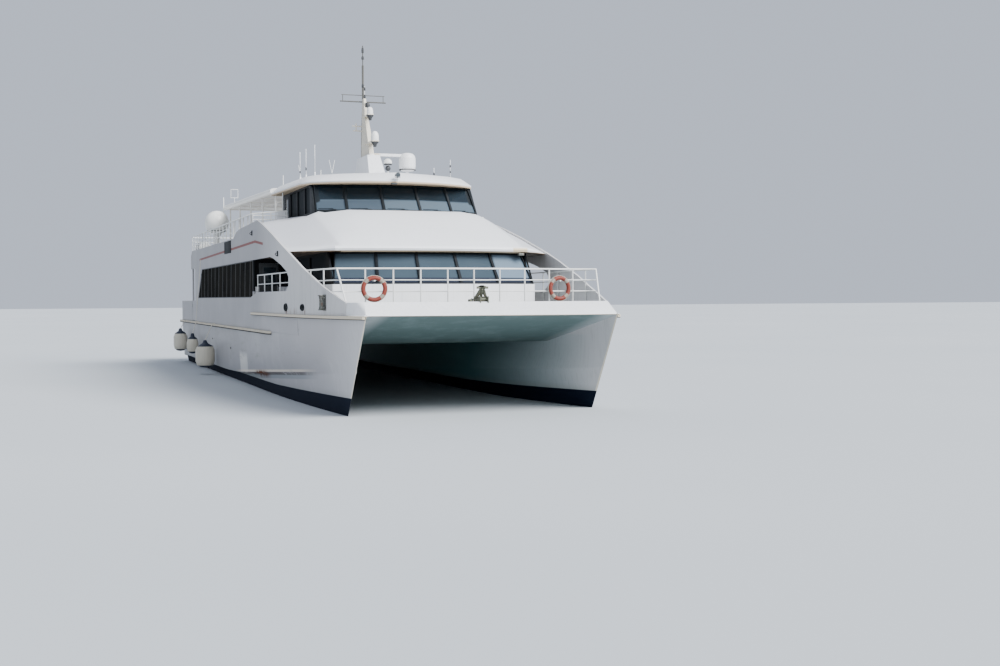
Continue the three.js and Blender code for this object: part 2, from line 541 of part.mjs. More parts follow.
const roofHalf = [
  { y: 700, line: roofSlope(480) }, { y: 2000, line: roofSlope(320) }, { y: 2850, line: ROOF_BROW },
  { y: 3200, line: SHOULDER_TOP }, { y: 3900, line: SHOULDER_MIDDLE }, { y: 4430, line: SHOULDER_FOOT },
  { y: 4600, line: SHOULDER_FOOT },
];
const roofRings = roofHalf.map(({ y, line }) => line.map(([x, z]) => vec(x, y, z)));
const otherSide = roofRings.map((ring) => ring.map((point) => vec(point.x, -point.y, point.z)));
const wholeRoof = loft([...otherSide.reverse(), ...roofRings]);

// Wheelhouse outline in plan: five panes across a bowed front, straight sides
const BRIDGE_FRONT = [[8950, -2920], [9290, -1880], [9590, -650], [9590, 650], [9290, 1880], [8950, 2920]];
const betweenWings = planPrism(edgeStrip(SIDE_STATIONS, -WALL - SEAM, -9000), 4000, 7000);
const bridgeRoom = planPrism([
  [0, -BRIDGE_HALF - SEAM], ...BRIDGE_FRONT.map(([x, y]) => [x - 60, y * 1.0105]), [0, BRIDGE_HALF + SEAM],
], UPPER_DECK_Z, 7000);
const roofBetween = wholeRoof.intersect(betweenWings).intersect(mirrored(betweenWings));
piece("front_roof", roofBetween.subtract(bridgeRoom), WHITE);

// Wheelhouse windows: a raked frame of five lights across the front
const BRIDGE_RAKE = { x: 760, narrow: 0.972 };
const BRIDGE_GLASS_NARROW = 0.988;
function bridgeRing(z, lean, near, far, scale = 1) {
  const front = (behind) => BRIDGE_FRONT.map(([x, y]) => vec(x - 62 - BRIDGE_RAKE.x * lean - behind,
    y * scale * (1 - (1 - BRIDGE_RAKE.narrow) * lean), z));
  return [...front(near), ...front(far).reverse()];
}
const bridgeBays = BRIDGE_FRONT.slice(1).map(([, y1], i) => {
  const [a, b] = [BRIDGE_FRONT[i][1] + MULLION / 2, y1 - MULLION / 2];
  const [low, high] = [BRIDGE_SILL_Z + 50, BRIDGE_HEAD_Z - 60];
  const narrow = 0.975;
  return sectionPrism([[a, low], [b, low], [b * narrow, high], [a * narrow, high]], 7000, 11000);
});
const bridgeFrame = loft([bridgeRing(UPPER_DECK_Z + SEAM, 0, 0, 60), bridgeRing(BRIDGE_SILL_Z, 0, 0, 60),
  bridgeRing(BRIDGE_HEAD_Z, 1, 0, 60)]);
piece("bridge_front_frame", bridgeFrame.subtract(joined(bridgeBays)), FRAME_BLACK);
const bridgeFrontGlass = loft([
  bridgeRing(BRIDGE_SILL_Z - 40, 0, 60 + SEAM, 80, BRIDGE_GLASS_NARROW),
  bridgeRing(BRIDGE_SILL_Z, 0, 60 + SEAM, 80, BRIDGE_GLASS_NARROW),
  bridgeRing(BRIDGE_HEAD_Z - 5, 1, 60 + SEAM, 80, BRIDGE_GLASS_NARROW),
]);

// Wheelhouse side and after walls, with windows and the side doors
const BRIDGE_DOOR = { x: [3400, 4200], z: [UPPER_DECK_Z + 60, 7180] };
const bridgeWindows = [[4420, 5650], [5780, 7000], [7130, 8000]];
const sideLean = [
  [BRIDGE_AFT_X, UPPER_DECK_Z + SEAM], [8822, UPPER_DECK_Z + SEAM], [8822, BRIDGE_SILL_Z],
  [8060, BRIDGE_HEAD_Z], [BRIDGE_AFT_X, BRIDGE_HEAD_Z],
];
const sidePane = ([x0, x1]) => block([x0, x1], [2000, 4000], [BRIDGE_SILL_Z - 10, BRIDGE_HEAD_Z - 70]);
const bridgeSide = profilePrism(sideLean, BRIDGE_HALF - 60, BRIDGE_HALF)
  .subtract(joined(bridgeWindows.map(sidePane)))
  .subtract(block(BRIDGE_DOOR.x, [2000, 4000], BRIDGE_DOOR.z))
  .subtract(moved(bridgeFrame, SEAM, 0, 0))
  .subtract(moved(bridgeFrame, -SEAM, 0, 0));
const bridgeSideGlass = profilePrism([
  [4360, BRIDGE_SILL_Z - 60], [8812, BRIDGE_SILL_Z - 60], [8812, BRIDGE_SILL_Z], [8066, BRIDGE_HEAD_Z - 20],
  [4360, BRIDGE_HEAD_Z - 20],
], BRIDGE_HALF - 84, BRIDGE_HALF - 60 - SEAM);
const bridgeDoorZ = [BRIDGE_DOOR.z[0] + DOOR_GAP, BRIDGE_DOOR.z[1] - DOOR_GAP];
const bridgeHinge = [BRIDGE_DOOR.x[1] + HINGE.beside, BRIDGE_HALF + HINGE.off];
const bridgeDoor = block([BRIDGE_DOOR.x[0] + DOOR_GAP * 2, BRIDGE_DOOR.x[1] - DOOR_GAP],
  [BRIDGE_HALF - 55, BRIDGE_HALF - 8], bridgeDoorZ).add(doorHinge(bridgeHinge, [-1, 0], [0, 1], bridgeDoorZ));
const bridgeAftWall = block([BRIDGE_AFT_X, BRIDGE_AFT_X + 60], [-BRIDGE_HALF + 30, BRIDGE_HALF - 30],
  [UPPER_DECK_Z + SEAM, BRIDGE_HEAD_Z]);
piece("bridge_walls", joined(bridgeSide, mirrored(bridgeSide), bridgeAftWall), WHITE);
piece("bridge_glass", joined(bridgeFrontGlass, bridgeSideGlass, mirrored(bridgeSideGlass)), GLASS);
for (const side of SIDES) piece(`bridge_door_${side.name}`, onSide(bridgeDoor, side), WHITE);

// Wheelhouse roof: a visor lip, a sloping fascia and a low crown
function roofRing(z, inset) {
  const half = [[7400, 3180], [8150, 2930], [8800, 2280], [9350, 1300], [9600, 0]];
  const round = half.map(([x, y]) => vec(x - inset, Math.max(0, y - inset), z));
  const port = [vec(2700 + inset * 0.4, 3350 - inset, z), ...round];
  return [...port, ...port.slice(0, -1).reverse().map((p) => vec(p.x, -p.y, z))];
}
const roofShell = loft([
  roofRing(BRIDGE_HEAD_Z + SEAM, 0), roofRing(ROOF_LIP_Z + 70, -20), roofRing(ROOF_TOP_Z, 280),
  roofRing(ROOF_TOP_Z + 90, 900),
]);
// Bracket on the roof's front edge, with the foot that the searchlight turns on
const LIGHT = { x: 9660, y: -230, z: 7425 };
const lightBracket = block([9370, LIGHT.x + 45], [LIGHT.y - 45, LIGHT.y + 45], [LIGHT.z - 18, LIGHT.z]);
const footProfile = [[0, -10], [40, -10], [40, 20], [22, 26], [22, 45], [0, 45]];
const lightFoot = turned(footProfile, [LIGHT.x, LIGHT.y, LIGHT.z], 12);
// Whip aerials along both edges of the roof
const AERIALS = [
  { x: 5400, y: -2760, top: 8720 }, { x: 6500, y: -2760, top: 8720 }, { x: 7500, y: -2650, top: 8760 },
  { x: 5050, y: 2500, top: 8330 }, { x: 7100, y: 2500, top: 8430 },
];
const AERIAL = { radius: 16, socket: 30, socketHeight: 140 };
const whips = AERIALS.map(({ x, y, top }) => joined(
  bar([x, y, ROOF_TOP_Z], [x, y, top], AERIAL.radius),
  bar([x, y, ROOF_TOP_Z], [x, y, ROOF_TOP_Z + AERIAL.socketHeight], AERIAL.socket),
));
piece("bridge_roof", joined(roofShell, lightBracket, lightFoot, whips), WHITE);

// Helm console and chairs, seen through the wheelhouse windows
const consoleProfile = [[7700, 0], [8600, 0], [8600, 1030], [8300, 1080], [7750, 900], [7650, 600]];
const chairProfile = [
  [0, 0], [560, 0], [560, 60], [330, 60], [330, 420], [560, 420], [560, 520], [130, 520], [60, 1250],
  [-60, 1250], [0, 420], [230, 420], [230, 60], [0, 60],
];
const helmFloorZ = UPPER_DECK_Z + SEAM;
const helmConsole = profilePrism(consoleProfile.map(([x, z]) => [x, z + helmFloorZ]), -2200, 2200);
const helmChair = profilePrism(chairProfile, -260, 260);
const helmChairs = SIDES.map(({ sign }) => moved(helmChair, 6600, sign * 900, helmFloorZ));
const helmPlatform = block([6500, 8000], [-1200, 1200], [helmFloorZ, helmFloorZ + 30]);
piece("helm_station", joined(helmConsole, helmChairs, helmPlatform), FRAME_BLACK);

// Rows of passenger seats, each block a comb of seats on its floor rails
function seatBlock(count, pitch, width) {
  const comb = [[0, 0], [0, 60]];
  for (let i = 0; i < count; i += 1) {
    const x = i * pitch;
    comb.push([x + 120, 60], [x + 60, 380], [x - 60, 1080], [x + 40, 1100], [x + 160, 480]);
    comb.push([x + 560, 470], [x + 560, 380], [x + 260, 380], [x + 240, 60]);
  }
  comb.push([(count - 1) * pitch + 620, 60], [(count - 1) * pitch + 620, 0]);
  return profilePrism(comb, -width / 2, width / 2);
}
const SALOON_SEATS = { rows: 15, pitch: 1050, half: 4000, aisle: 1000, x: -11400, floor: aftDeckTop };
const DECK_SEATS = { rows: 9, pitch: 1150, half: 2650, aisle: 700, x: -9800, floor: UPPER_DECK_Z + SEAM };
function seating({ rows, pitch, half, aisle, x, floor }) {
  const rowsAcross = seatBlock(rows, pitch, half * 2);
  const walkway = block([-100, rows * pitch + 700], [-aisle, aisle], [40, 2000]);
  return moved(rowsAcross.subtract(walkway), x, 0, floor);
}
piece("saloon_seats", seating(SALOON_SEATS), SEAT_BLUE);
piece("deck_seats", seating(DECK_SEATS), SEAT_BLUE);

// Awning over the after part of the upper deck: a low vault with rolled edges, on a frame of pipes. The whole
// roof is pitched a little, its fore end lower
const EDGE_ROLL = 120;
const roll = stations(-90, 90, 6).map((degrees) => degrees * THREE.MathUtils.DEG2RAD);
const edgeIn = AWNING_HALF - EDGE_ROLL;
const awningSection = [
  ...roll.map((a) => [edgeIn + EDGE_ROLL * Math.cos(a), EDGE_ROLL * Math.sin(a)]),
  [1700, 200], [0, 230], [-1700, 200],
  ...roll.map((a) => [-edgeIn - EDGE_ROLL * Math.cos(a), -EDGE_ROLL * Math.sin(a)]),
  [-AWNING_HALF + 300, -60], [AWNING_HALF - 300, -60],
];
const awningLength = AWNING_X[1] - AWNING_X[0];
const awningMiddle = (AWNING_X[0] + AWNING_X[1]) / 2;
const awningSkin = moved(sectionPrism(awningSection, -awningLength / 2, awningLength / 2)
  .rotate([0, AWNING_PITCH, 0]), awningMiddle, 0, AWNING_Z);
const POST_X = stations(-10300, 2000, 4);
const POST_Y = 3060;
const awningPitch = Math.tan(AWNING_PITCH * THREE.MathUtils.DEG2RAD);
const frameTop = (x) => AWNING_Z - 85 - (x - awningMiddle) * awningPitch;
const awningFrame = POST_X.flatMap((x) => [
  bar([x, -POST_Y - 40, frameTop(x)], [x, POST_Y + 40, frameTop(x)], 35),
  ...SIDES.map(({ sign }) => {
    return bar([x, sign * POST_Y, UPPER_DECK_Z + SEAM], [x, sign * POST_Y, frameTop(x)], 38, 8);
  }),
]);
const [frameAft, frameFore] = [POST_X[0], POST_X.at(-1)];
const awningStringers = [-1900, 1900].map((y) => {
  return bar([frameAft, y, frameTop(frameAft)], [frameFore, y, frameTop(frameFore)], 30);
});
piece("awning", joined(awningSkin, awningFrame, awningStringers), WHITE);

// Railings: a run of pipe rails on posts, along a path given as points at deck level
function railing(path, base, heights, posts, radius = 24) {
  const level = (h) => path.map(([x, y]) => [x, y, h]);
  const rails = heights.map((h, i) => (i === 0 ? pipe(level(h), radius) : pipe(level(h), radius * 0.65, 4)));
  const stands = posts.map(([x, y]) => bar([x, y, base], [x, y, heights[0]], radius * 0.9, 4));
  return joined(rails, stands);
}
const between = ([x0, y0], [x1, y1], t) => [x0 + (x1 - x0) * t, y0 + (y1 - y0) * t];
const spread = (from, to, count) => stations(0, 1, count).map((t) => between(from, to, t));

const upperRailY = HALF_BEAM - 30;
const upperRailEnds = [[UPPER_DECK_AFT_X + 500, upperRailY], [300, upperRailY]];
const UPPER_RAILS = [UPPER_RAIL_Z, 6220, 5990];
const upperRail = railing(upperRailEnds, BULWARK_TOP_Z + SEAM, UPPER_RAILS, spread(...upperRailEnds, 14));
const peakPosts = spread([700, upperRailY], [5100, upperRailY], 4);
const crossRailY = BRIDGE_HALF + 260;
const CROSS_RAILS = [6570, 6390, 6240];
const peakBase = (x) => (x < 2000 ? 5960 + (x - 1200) * 0.1 : 6040 + (x - 2000) * 0.025);
const peakRail = joined(
  pipe([
    [280, upperRailY, UPPER_RAIL_Z], [5100, upperRailY, UPPER_RAIL_Z], [5100, crossRailY, CROSS_RAILS[0]],
  ], 24),
  peakPosts.map(([x, y]) => bar([x, y, peakBase(x) + 6], [x, y, UPPER_RAIL_Z], 22, 4)),
  CROSS_RAILS.slice(1).map((z) => pipe([[5100, upperRailY, z], [5100, crossRailY, z]], 16, 4)),
  bar([5100, upperRailY, 6126], [5100, upperRailY, UPPER_RAIL_Z], 22, 4),
  bar([5100, crossRailY, UPPER_DECK_Z + SEAM], [5100, crossRailY, CROSS_RAILS[0]], 24),
  bar([5100, 3800, UPPER_DECK_Z + SEAM], [5100, 3800, CROSS_RAILS[0] - 40], 20),
);
const aftRailX = UPPER_DECK_AFT_X + 60;
const STAIR_HEAD = { x: UPPER_DECK_AFT_X - 30, y: [1350, 2350] };
const aftRails = {
  starboard: [-STAIR_HEAD.y[0] + 100, 4300, 6],
  port: [STAIR_HEAD.y[1] + 100, 4300, 2],
};
for (const side of SIDES) {
  const [inner, outer, bays] = aftRails[side.name];
  const aftEnds = [[aftRailX, inner], [aftRailX, outer]];
  const aftPath = [...aftEnds, upperRailEnds[0]];
  const aftRun = railing(aftPath, UPPER_DECK_Z + SEAM, UPPER_RAILS, spread(...aftEnds, bays));
  piece(`upper_rail_${side.name}`, onSide(joined(upperRail, peakRail, aftRun), side), WHITE);
}

// Locker beside the wheelhouse, inside the starboard cross rail
piece("deck_locker", block([4650, 5060], [-3560, -3240], [UPPER_DECK_Z + SEAM, 6540]), WHITE);

// Foredeck rail: across the bow and back along both sides to the wings
const insideWing = (x) => deckEdge(x) - WALL - 40;
const FORE_RAIL = { x: 16800, y: insideWing(16800), bow: 280 };
const foreRailY = (y) => [FORE_RAIL.x + FORE_RAIL.bow * (1 - (y / FORE_RAIL.y) ** 2), y];
const foreFront = [-FORE_RAIL.y, -2400, -800, 800, 2400, FORE_RAIL.y].map(foreRailY);
const sideRun = [5600, 9000, 11500, 14300, 15500].map((x) => [x, insideWing(x)]);
const foreRailPath = [...sideRun.map(([x, y]) => [x, -y]), ...foreFront, ...[...sideRun].reverse()];
const frontMiddles = foreFront.slice(1).map((point, i) => between(foreFront[i], point, 0.5));
const foreRailPosts = [...foreFront.slice(1, -1), ...frontMiddles, ...SIDES.flatMap(({ sign }) => {
  return [5660, 7100, 8600, 10100, 11600, 13000, 14400, 15700].map((x) => [x, sign * insideWing(x)]);
})];
const [ringInner, ringOuter] = foreFront.slice(-2);
const ringSlope = (ringInner[0] - ringOuter[0]) / (ringOuter[1] - ringInner[1]);
const ringTurn = Math.atan(ringSlope);
const RING = { y: { starboard: 2960, port: 2700 }, z: 3600, off: 84.2, radius: 310, tube: 62 };
const ringPlaces = SIDES.map((side) => {
  const railX = ringInner[0] - (RING.y[side.name] - ringInner[1]) * ringSlope;
  return { ...side, railX, y: side.sign * (RING.y[side.name] + RING.off * Math.sin(ringTurn)) };
});
const ringPegs = ringPlaces.map(({ railX, y }) => {
  return block([railX - 25, railX + 165], [y - 20, y + 20], [RING.z + 215, RING.z + 244.9]);
});
const FORE_RAIL_Z = [4180, 3850, 3520];
const foreRailBase = FOREDECK_Z + DECK_PLATE + SEAM;
const foreRails = railing(foreRailPath, foreRailBase, FORE_RAIL_Z, foreRailPosts);
// The corner posts rake forward to the deck, and the side rails run on to them
const CORNER_POST = { x: 17550, y: 3830, radius: 24, railRadius: 15.6, pad: [60, 40, 18] };
const cornerPosts = SIDES.map(({ sign }) => {
  const head = [FORE_RAIL.x, sign * FORE_RAIL.y, FORE_RAIL_Z[0]];
  const [along, across, thick] = CORNER_POST.pad;
  const foot = [CORNER_POST.x, sign * CORNER_POST.y, foreRailBase + thick];
  const pad = block([foot[0] - along, foot[0] + along], [foot[1] - across, foot[1] + across],
    [foreRailBase, foot[2]]);
  const runOn = FORE_RAIL_Z.slice(1).map((z) => {
    const down = (head[2] - z) / (head[2] - foot[2]);
    const [x, y] = between(head, foot, down);
    return bar([head[0], head[1], z], [x, y, z], CORNER_POST.railRadius, 8);
  });
  return joined(bar(head, foot, CORNER_POST.radius, 10), pad, runOn);
});
piece("foredeck_rail", joined(foreRails, cornerPosts, ringPegs), WHITE);

// Low bulwark round the after deck, with a boarding gate each side
const quarter = block([TRANSOM_X + 5, GATE.x[0]], [HALF_BEAM - 60, HALF_BEAM - 8],
  [aftDeckTop, AFT_BULWARK_Z]);
const sternHalf = block([TRANSOM_X + 5, TRANSOM_X + 55], [0, HALF_BEAM - 8], [aftDeckTop, AFT_BULWARK_Z]);
const [postX, postY] = [GATE.x[0] - 120, HALF_BEAM - 85];
const overhangPost = bar([postX, postY, aftDeckTop], [postX, postY, SALOON_CEILING_Z - SEAM], 50, 10);
const sternBulwark = joined(quarter, sternHalf, overhangPost);
piece("stern_bulwark", sternBulwark.add(mirrored(sternBulwark)), WHITE);
const gateZ = [aftDeckTop + 40, AFT_BULWARK_Z];
const gateHinge = [GATE.x[1] + HINGE.beside, HALF_BEAM - 60 - HINGE.off];
const gate = block([GATE.x[0] + DOOR_GAP * 2, GATE.x[1] - DOOR_GAP], [HALF_BEAM - 52, HALF_BEAM - 16], gateZ)
  .add(doorHinge(gateHinge, [-1, 0], [0, -1], gateZ));
for (const side of SIDES) piece(`boarding_gate_${side.name}`, onSide(gate, side), WHITE);

// Stairs from the after deck up to the upper deck, with stringers and hand rails
const STAIR = { steps: 14, y: STAIR_HEAD.y, topX: STAIR_HEAD.x, run: 2700 };
const stairRise = (UPPER_DECK_Z - aftDeckTop) / STAIR.steps;
const stairPitch = STAIR.run / STAIR.steps;
const treads = stations(1, STAIR.steps - 1, STAIR.steps - 2).map((i) => {
  const [x, z] = [STAIR.topX - STAIR.run + i * stairPitch, aftDeckTop + i * stairRise];
  return block([x - 20, x + stairPitch + 20], STAIR.y, [z - 40, z]);
});
const stairFootX = STAIR.topX - STAIR.run;
const stairMiddleX = STAIR.topX - STAIR.run / 2;
const stringerProfile = [
  [stairFootX - 100, aftDeckTop], [stairFootX + 250, aftDeckTop], [STAIR.topX, UPPER_DECK_Z - 330],
  [STAIR.topX, UPPER_DECK_Z], [STAIR.topX - 120, UPPER_DECK_Z],
];
const stairSides = STAIR.y.map((y) => profilePrism(stringerProfile, y - 20, y + 20));
const stairRails = STAIR.y.flatMap((y) => [
  pipe([[stairFootX, y, aftDeckTop + 60], [stairFootX, y, aftDeckTop + 950],
    [STAIR.topX - 60, y, UPPER_DECK_Z + 950], [STAIR.topX - 60, y, UPPER_DECK_Z - 100]], 22),
  bar([stairMiddleX, y, aftDeckTop + 1400], [stairMiddleX, y, aftDeckTop + 2500], 18),
]);
piece("aft_stairs", joined(treads, stairSides, stairRails), STEEL);

// Mast on the wheelhouse roof: a raked casing, a slim column, a pole and a yard
const MAST_FOOT_Z = ROOF_TOP_Z + 90 + SEAM;
function mastBox(z, x0, x1, half) {
  return [[x0, -half], [x1, -half], [x1, half], [x0, half]].map(([x, y]) => vec(x, y, z));
}
const mastCasing = loft([mastBox(MAST_FOOT_Z, 3600, 6170, 330), mastBox(8700, 3860, 5490, 240)]);
const mastColumn = loft([
  mastBox(8600, 3910, 5300, 95), mastBox(9700, 3900, 4780, 80), mastBox(10250, 3940, 4450, 65),
  mastBox(11000, 3990, 4220, 45),
]);
const POLE_X = 3930;
const mastPole = joined(
  bar([POLE_X, 0, 8650], [POLE_X, 0, 12300], 42, 8), bar([POLE_X, 0, 12200], [POLE_X, 0, 13060], 22, 6),
);
const spreader = (x, y0, y1, z, radius) => bar([x, y0, z], [x, y1, z], radius, 6);
const yard = joined(
  spreader(POLE_X, -900, 900, 10900, 26), spreader(POLE_X, -850, 850, 11150, 15),
  SIDES.map(({ sign }) => bar([POLE_X, sign * 800, 10900], [POLE_X, sign * 800, 11150], 15, 6)),
  spreader(4000, -450, 0, 9950, 22), spreader(4000, -420, 0, 9770, 22),
  bar([4000, -300, 9770], [4000, -300, 10060], 22, 6), bar([POLE_X, 0, 10850], [4150, 0, 10850], 25, 6),
);
const lampShelf = joined(
  block([4200, 5130], [-110, 110], [10250, 10290]),
  block([4600, 5850], [-130, 130], [9170, 9215]),
);
const domeArm = block([4350, 4500], [0, 1420], [8780, 8880]);
// Masthead lights on their shelves, and a satellite dome carried by its own foot and the arm
const lanternProfile = (r, h) => [
  [0, 0], [r * 0.9, 0], [r, h * 0.1], [r, h * 0.5], [r * 0.85, h * 0.74], [r * 0.5, h * 0.94], [0, h],
];
const LANTERNS = [
  { at: [5000, 0, 10285], radius: 120, height: 280 }, { at: [5700, 0, 9210], radius: 150, height: 360 },
];
const lanterns = LANTERNS.map(({ at, radius, height }) => turned(lanternProfile(radius, height), at, 14));
const capsule = (r, h) => [
  [0, 0], [r * 0.7, 0], [r * 0.95, 60], [r, 180], [r, h - r * 0.75], [r * 0.92, h - r * 0.42],
  [r * 0.7, h - r * 0.16], [r * 0.38, h - 20], [0, h],
];
const DOME = { x: 4425, y: 1615, z: 8240, radius: 320, height: 710 };
const mastDome = joined(turned(capsule(DOME.radius, DOME.height), [DOME.x, DOME.y, DOME.z], 20),
  bar([DOME.x, DOME.y, MAST_FOOT_Z], [DOME.x, DOME.y, DOME.z + 20], 70, 10));
piece("mast", joined(mastCasing, mastColumn, mastPole, yard, lampShelf, domeArm, lanterns, mastDome), WHITE);

// Large satellite dome on a pedestal at the starboard rail
const BIG_DOME = { at: [-9150, -3860, 6930], radius: 570 };
const bigDome = [
  [0, -470], [300, -480], [430, -400], [520, -240], [565, -40], [560, 110], [500, 280], [390, 420],
  [210, 530], [0, 570],
];
const domePedestal = turned([[0, 0], [330, 0], [330, 30], [130, 90], [130, 900], [260, 1150], [0, 1150]],
  [BIG_DOME.at[0], BIG_DOME.at[1], UPPER_DECK_Z + SEAM], 16);
piece("large_dome", turned(bigDome, BIG_DOME.at, 24).add(domePedestal), WHITE);

// Liferaft canisters lying in cradles at the after corners of the upper deck
const RAFT = { x: [-13800, -12500], y: 4020, z: 5900, radius: 290, cradles: [-13600, -12800] };
const raftCradles = RAFT.cradles.map((x) => {
  return block([x, x + 100], [RAFT.y - 240, RAFT.y + 240], [UPPER_DECK_Z + SEAM, RAFT.z - 100]);
});
const raftEnds = RAFT.x.map((x) => [x, RAFT.y, RAFT.z]);
const raft = joined(bar(...raftEnds, RAFT.radius, 16), raftCradles);
for (const side of SIDES) piece(`liferaft_${side.name}`, onSide(raft, side), WHITE);

// Searchlight, turning on its foot at the front of the roof
const lampZ = LIGHT.z + 140;
const lightBody = joined(
  bar([LIGHT.x - 85, LIGHT.y, lampZ], [LIGHT.x + 85, LIGHT.y, lampZ], 78, 12),
  bar([LIGHT.x, LIGHT.y, LIGHT.z + 45 + SEAM], [LIGHT.x, LIGHT.y, lampZ], 26, 8),
);
piece("searchlight", lightBody, FRAME_BLACK);

// Ground tackle at the bow: windlass frame, its drum, and the anchor on its roller
const WINDLASS = { x: 17450, z: FOREDECK_Z + DECK_PLATE + SEAM };
const cheekProfile = [[-220, 0], [220, 0], [160, 300], [80, 420], [-80, 420], [-160, 300]];
const cheek = (y) => profilePrism(cheekProfile, y - 25, y + 25);
const windlassFrame = joined(
  block([-320, 320], [-330, 330], [0, 25]), cheek(-260), cheek(260),
  bar([0, -285, 300], [0, 285, 300], 35, 24),
);
const drumProfile = [
  [36, -215], [150, -215], [150, -190], [85, -170], [85, 170], [150, 190], [150, 215], [36, 215], [36, -215],
];
const drumPoints = drumProfile.map(([r, h]) => new THREE.Vector2(r, h));
const drumAt = [WINDLASS.x, 0, WINDLASS.z + 300];
piece("windlass_drum", solid(new THREE.LatheGeometry(drumPoints, 20)), STEEL, { at: drumAt });

// The anchor is stowed crown up, leaning aft against its roller a little to starboard
const ROLLER = { y: -190, top: COAMING_TOP_Z + 150 };
const ANCHOR = { at: [18190, ROLLER.y, 3310], lean: -62 };
const anchorShank = profilePrism([[-420, -30], [300, -40], [350, 40], [-420, 30]], -30, 30);
const fluke = (sign) => planPrism([[130, sign * 45], [370, sign * 45], [-60, sign * 230]], -40, 25);
const anchor = joined(anchorShank, fluke(1), fluke(-1), bar([345, -170, 0], [345, 170, 0], 34, 8));
const rollerCheek = (y) => block([17950, 18540], [y - 15, y + 15], [COAMING_TOP_Z - 340, ROLLER.top]);
const rollerEnds = [-115, 115].map((off) => [18400, ROLLER.y + off, COAMING_TOP_Z + 70]);
const bowRoller = joined(rollerCheek(ROLLER.y - 115), rollerCheek(ROLLER.y + 115), bar(...rollerEnds, 45, 12),
  block([17500, 18230], [ROLLER.y - 130, 130], [WINDLASS.z, WINDLASS.z + 25]));
const coamingShell = coamingBlock.subtract(coamingWell);
const coamingRoom = joined(coamingShell, moved(coamingShell, -SEAM, 0, 0), moved(coamingShell, 0, 0, SEAM));
const stowedAnchor = moved(anchor.rotate([0, ANCHOR.lean, 0]), ...ANCHOR.at);
const bowGear = joined(bowRoller, stowedAnchor).subtract(coamingRoom);
piece("ground_tackle", joined(moved(windlassFrame, WINDLASS.x, 0, WINDLASS.z), bowGear), STEEL);

// Life rings hung on the foredeck rail
const ringSection = stations(0, 360, 8).map((d) => d * THREE.MathUtils.DEG2RAD)
  .map((a) => new THREE.Vector2(RING.radius + RING.tube * Math.cos(a), RING.tube * Math.sin(a)));
const lifeRing = new THREE.LatheGeometry(ringSection, 24).rotateZ(Math.PI / 2);
for (const { name, sign, railX, y } of ringPlaces) {
  const at = [railX + RING.off * Math.cos(ringTurn), y, RING.z];
  piece(`life_ring_${name}`, solid(lifeRing), ORANGE, { at, turn: [0, 0, sign * ringTurn] });
}

// Hatch lids
const coamingTop = FOREDECK_Z + 5 + FORE_HATCH.height + DECK_PLATE;
const lidHinge = { x: FORE_HATCH.x[0] - HINGE.off, z: coamingTop - 12 };
const hingeSpan = [FORE_HATCH.y[0] + 80, FORE_HATCH.y[1] - 80];
const foreLid = joined(
  block(FORE_HATCH.x, FORE_HATCH.y, [coamingTop + 8, coamingTop + 48]),
  bar([lidHinge.x, hingeSpan[0], lidHinge.z], [lidHinge.x, hingeSpan[1], lidHinge.z], HINGE.radius, 8),
  block([lidHinge.x - 6, lidHinge.x + 5], hingeSpan, [lidHinge.z, coamingTop + 48]),
  block([lidHinge.x - 6, FORE_HATCH.x[0] + 20], hingeSpan, [coamingTop + 20, coamingTop + 48]),
);
for (const side of SIDES) piece(`hatch_lid_${side.name}`, onSide(foreLid, side), WHITE);

// Air fenders hung by lanyards outside the starboard side
const FENDERS = [
  { x: -5200, z: 840, r: 420, h: 1080 },
  { x: -11150, z: 1110, r: 280, h: 850 },
  { x: -15900, z: 1160, r: 350, h: 1050 },
];
const LANYARD = 14;
const lanyardZ = FENDER_RAIL.z[1] + LANYARD + SEAM;
FENDERS.forEach(({ x, z, r, h }, i) => {
  const y = -HALF_BEAM - r - 40;
  const [foot, head] = [-h / 2, h / 2];
  const body = [
    [0, foot], [r * 0.5, foot + 30], [r * 0.86, foot + 130], [r, foot + 300], [r, head - 300],
    [r * 0.82, head - 120], [r * 0.35, head - 10], [90, head + 60], [70, head + 130], [0, head + 140],
  ];
  const overRail = [[x, -HALF_BEAM - 130, lanyardZ], [x, -HALF_BEAM - 20, lanyardZ]];
  const lanyard = pipe([[x, y, z + head + 120], ...overRail], LANYARD, 6);
  piece(`fender_${i + 1}`, joined(turned(body, [x, y, z], 16), lanyard), CREAM);
});

// Stern gear: shaft and strut, five-bladed propeller, spade rudder, one set under each hull
const SHAFT_ANGLE = 3.2 * THREE.MathUtils.DEG2RAD;
const alongShaft = (s) => [PROP.x + s * Math.cos(SHAFT_ANGLE), 0, PROP.z + s * Math.sin(SHAFT_ANGLE)];
const shaft = bar(alongShaft(-95), alongShaft(4200), SHAFT_RADIUS, 24);
const strutBarrel = bar(alongShaft(140), alongShaft(520), 92, 16);
const strutRing = (z, x0, x1) => {
  return [[x0, -14], [x1, -14], [x1, 14], [x0, 14]].map(([x, y]) => vec(PROP.x + x, y, z));
};
const strutArm = loft([strutRing(PROP.z + 40, 220, 460), strutRing(-300, 260, 520)]);
const shaftGear = moved(joined(shaft, strutBarrel, strutArm), 0, PROP.y, 0);
for (const side of SIDES) piece(`${side.name}_hull`, onSide(portHull.add(shaftGear), side), WHITE);

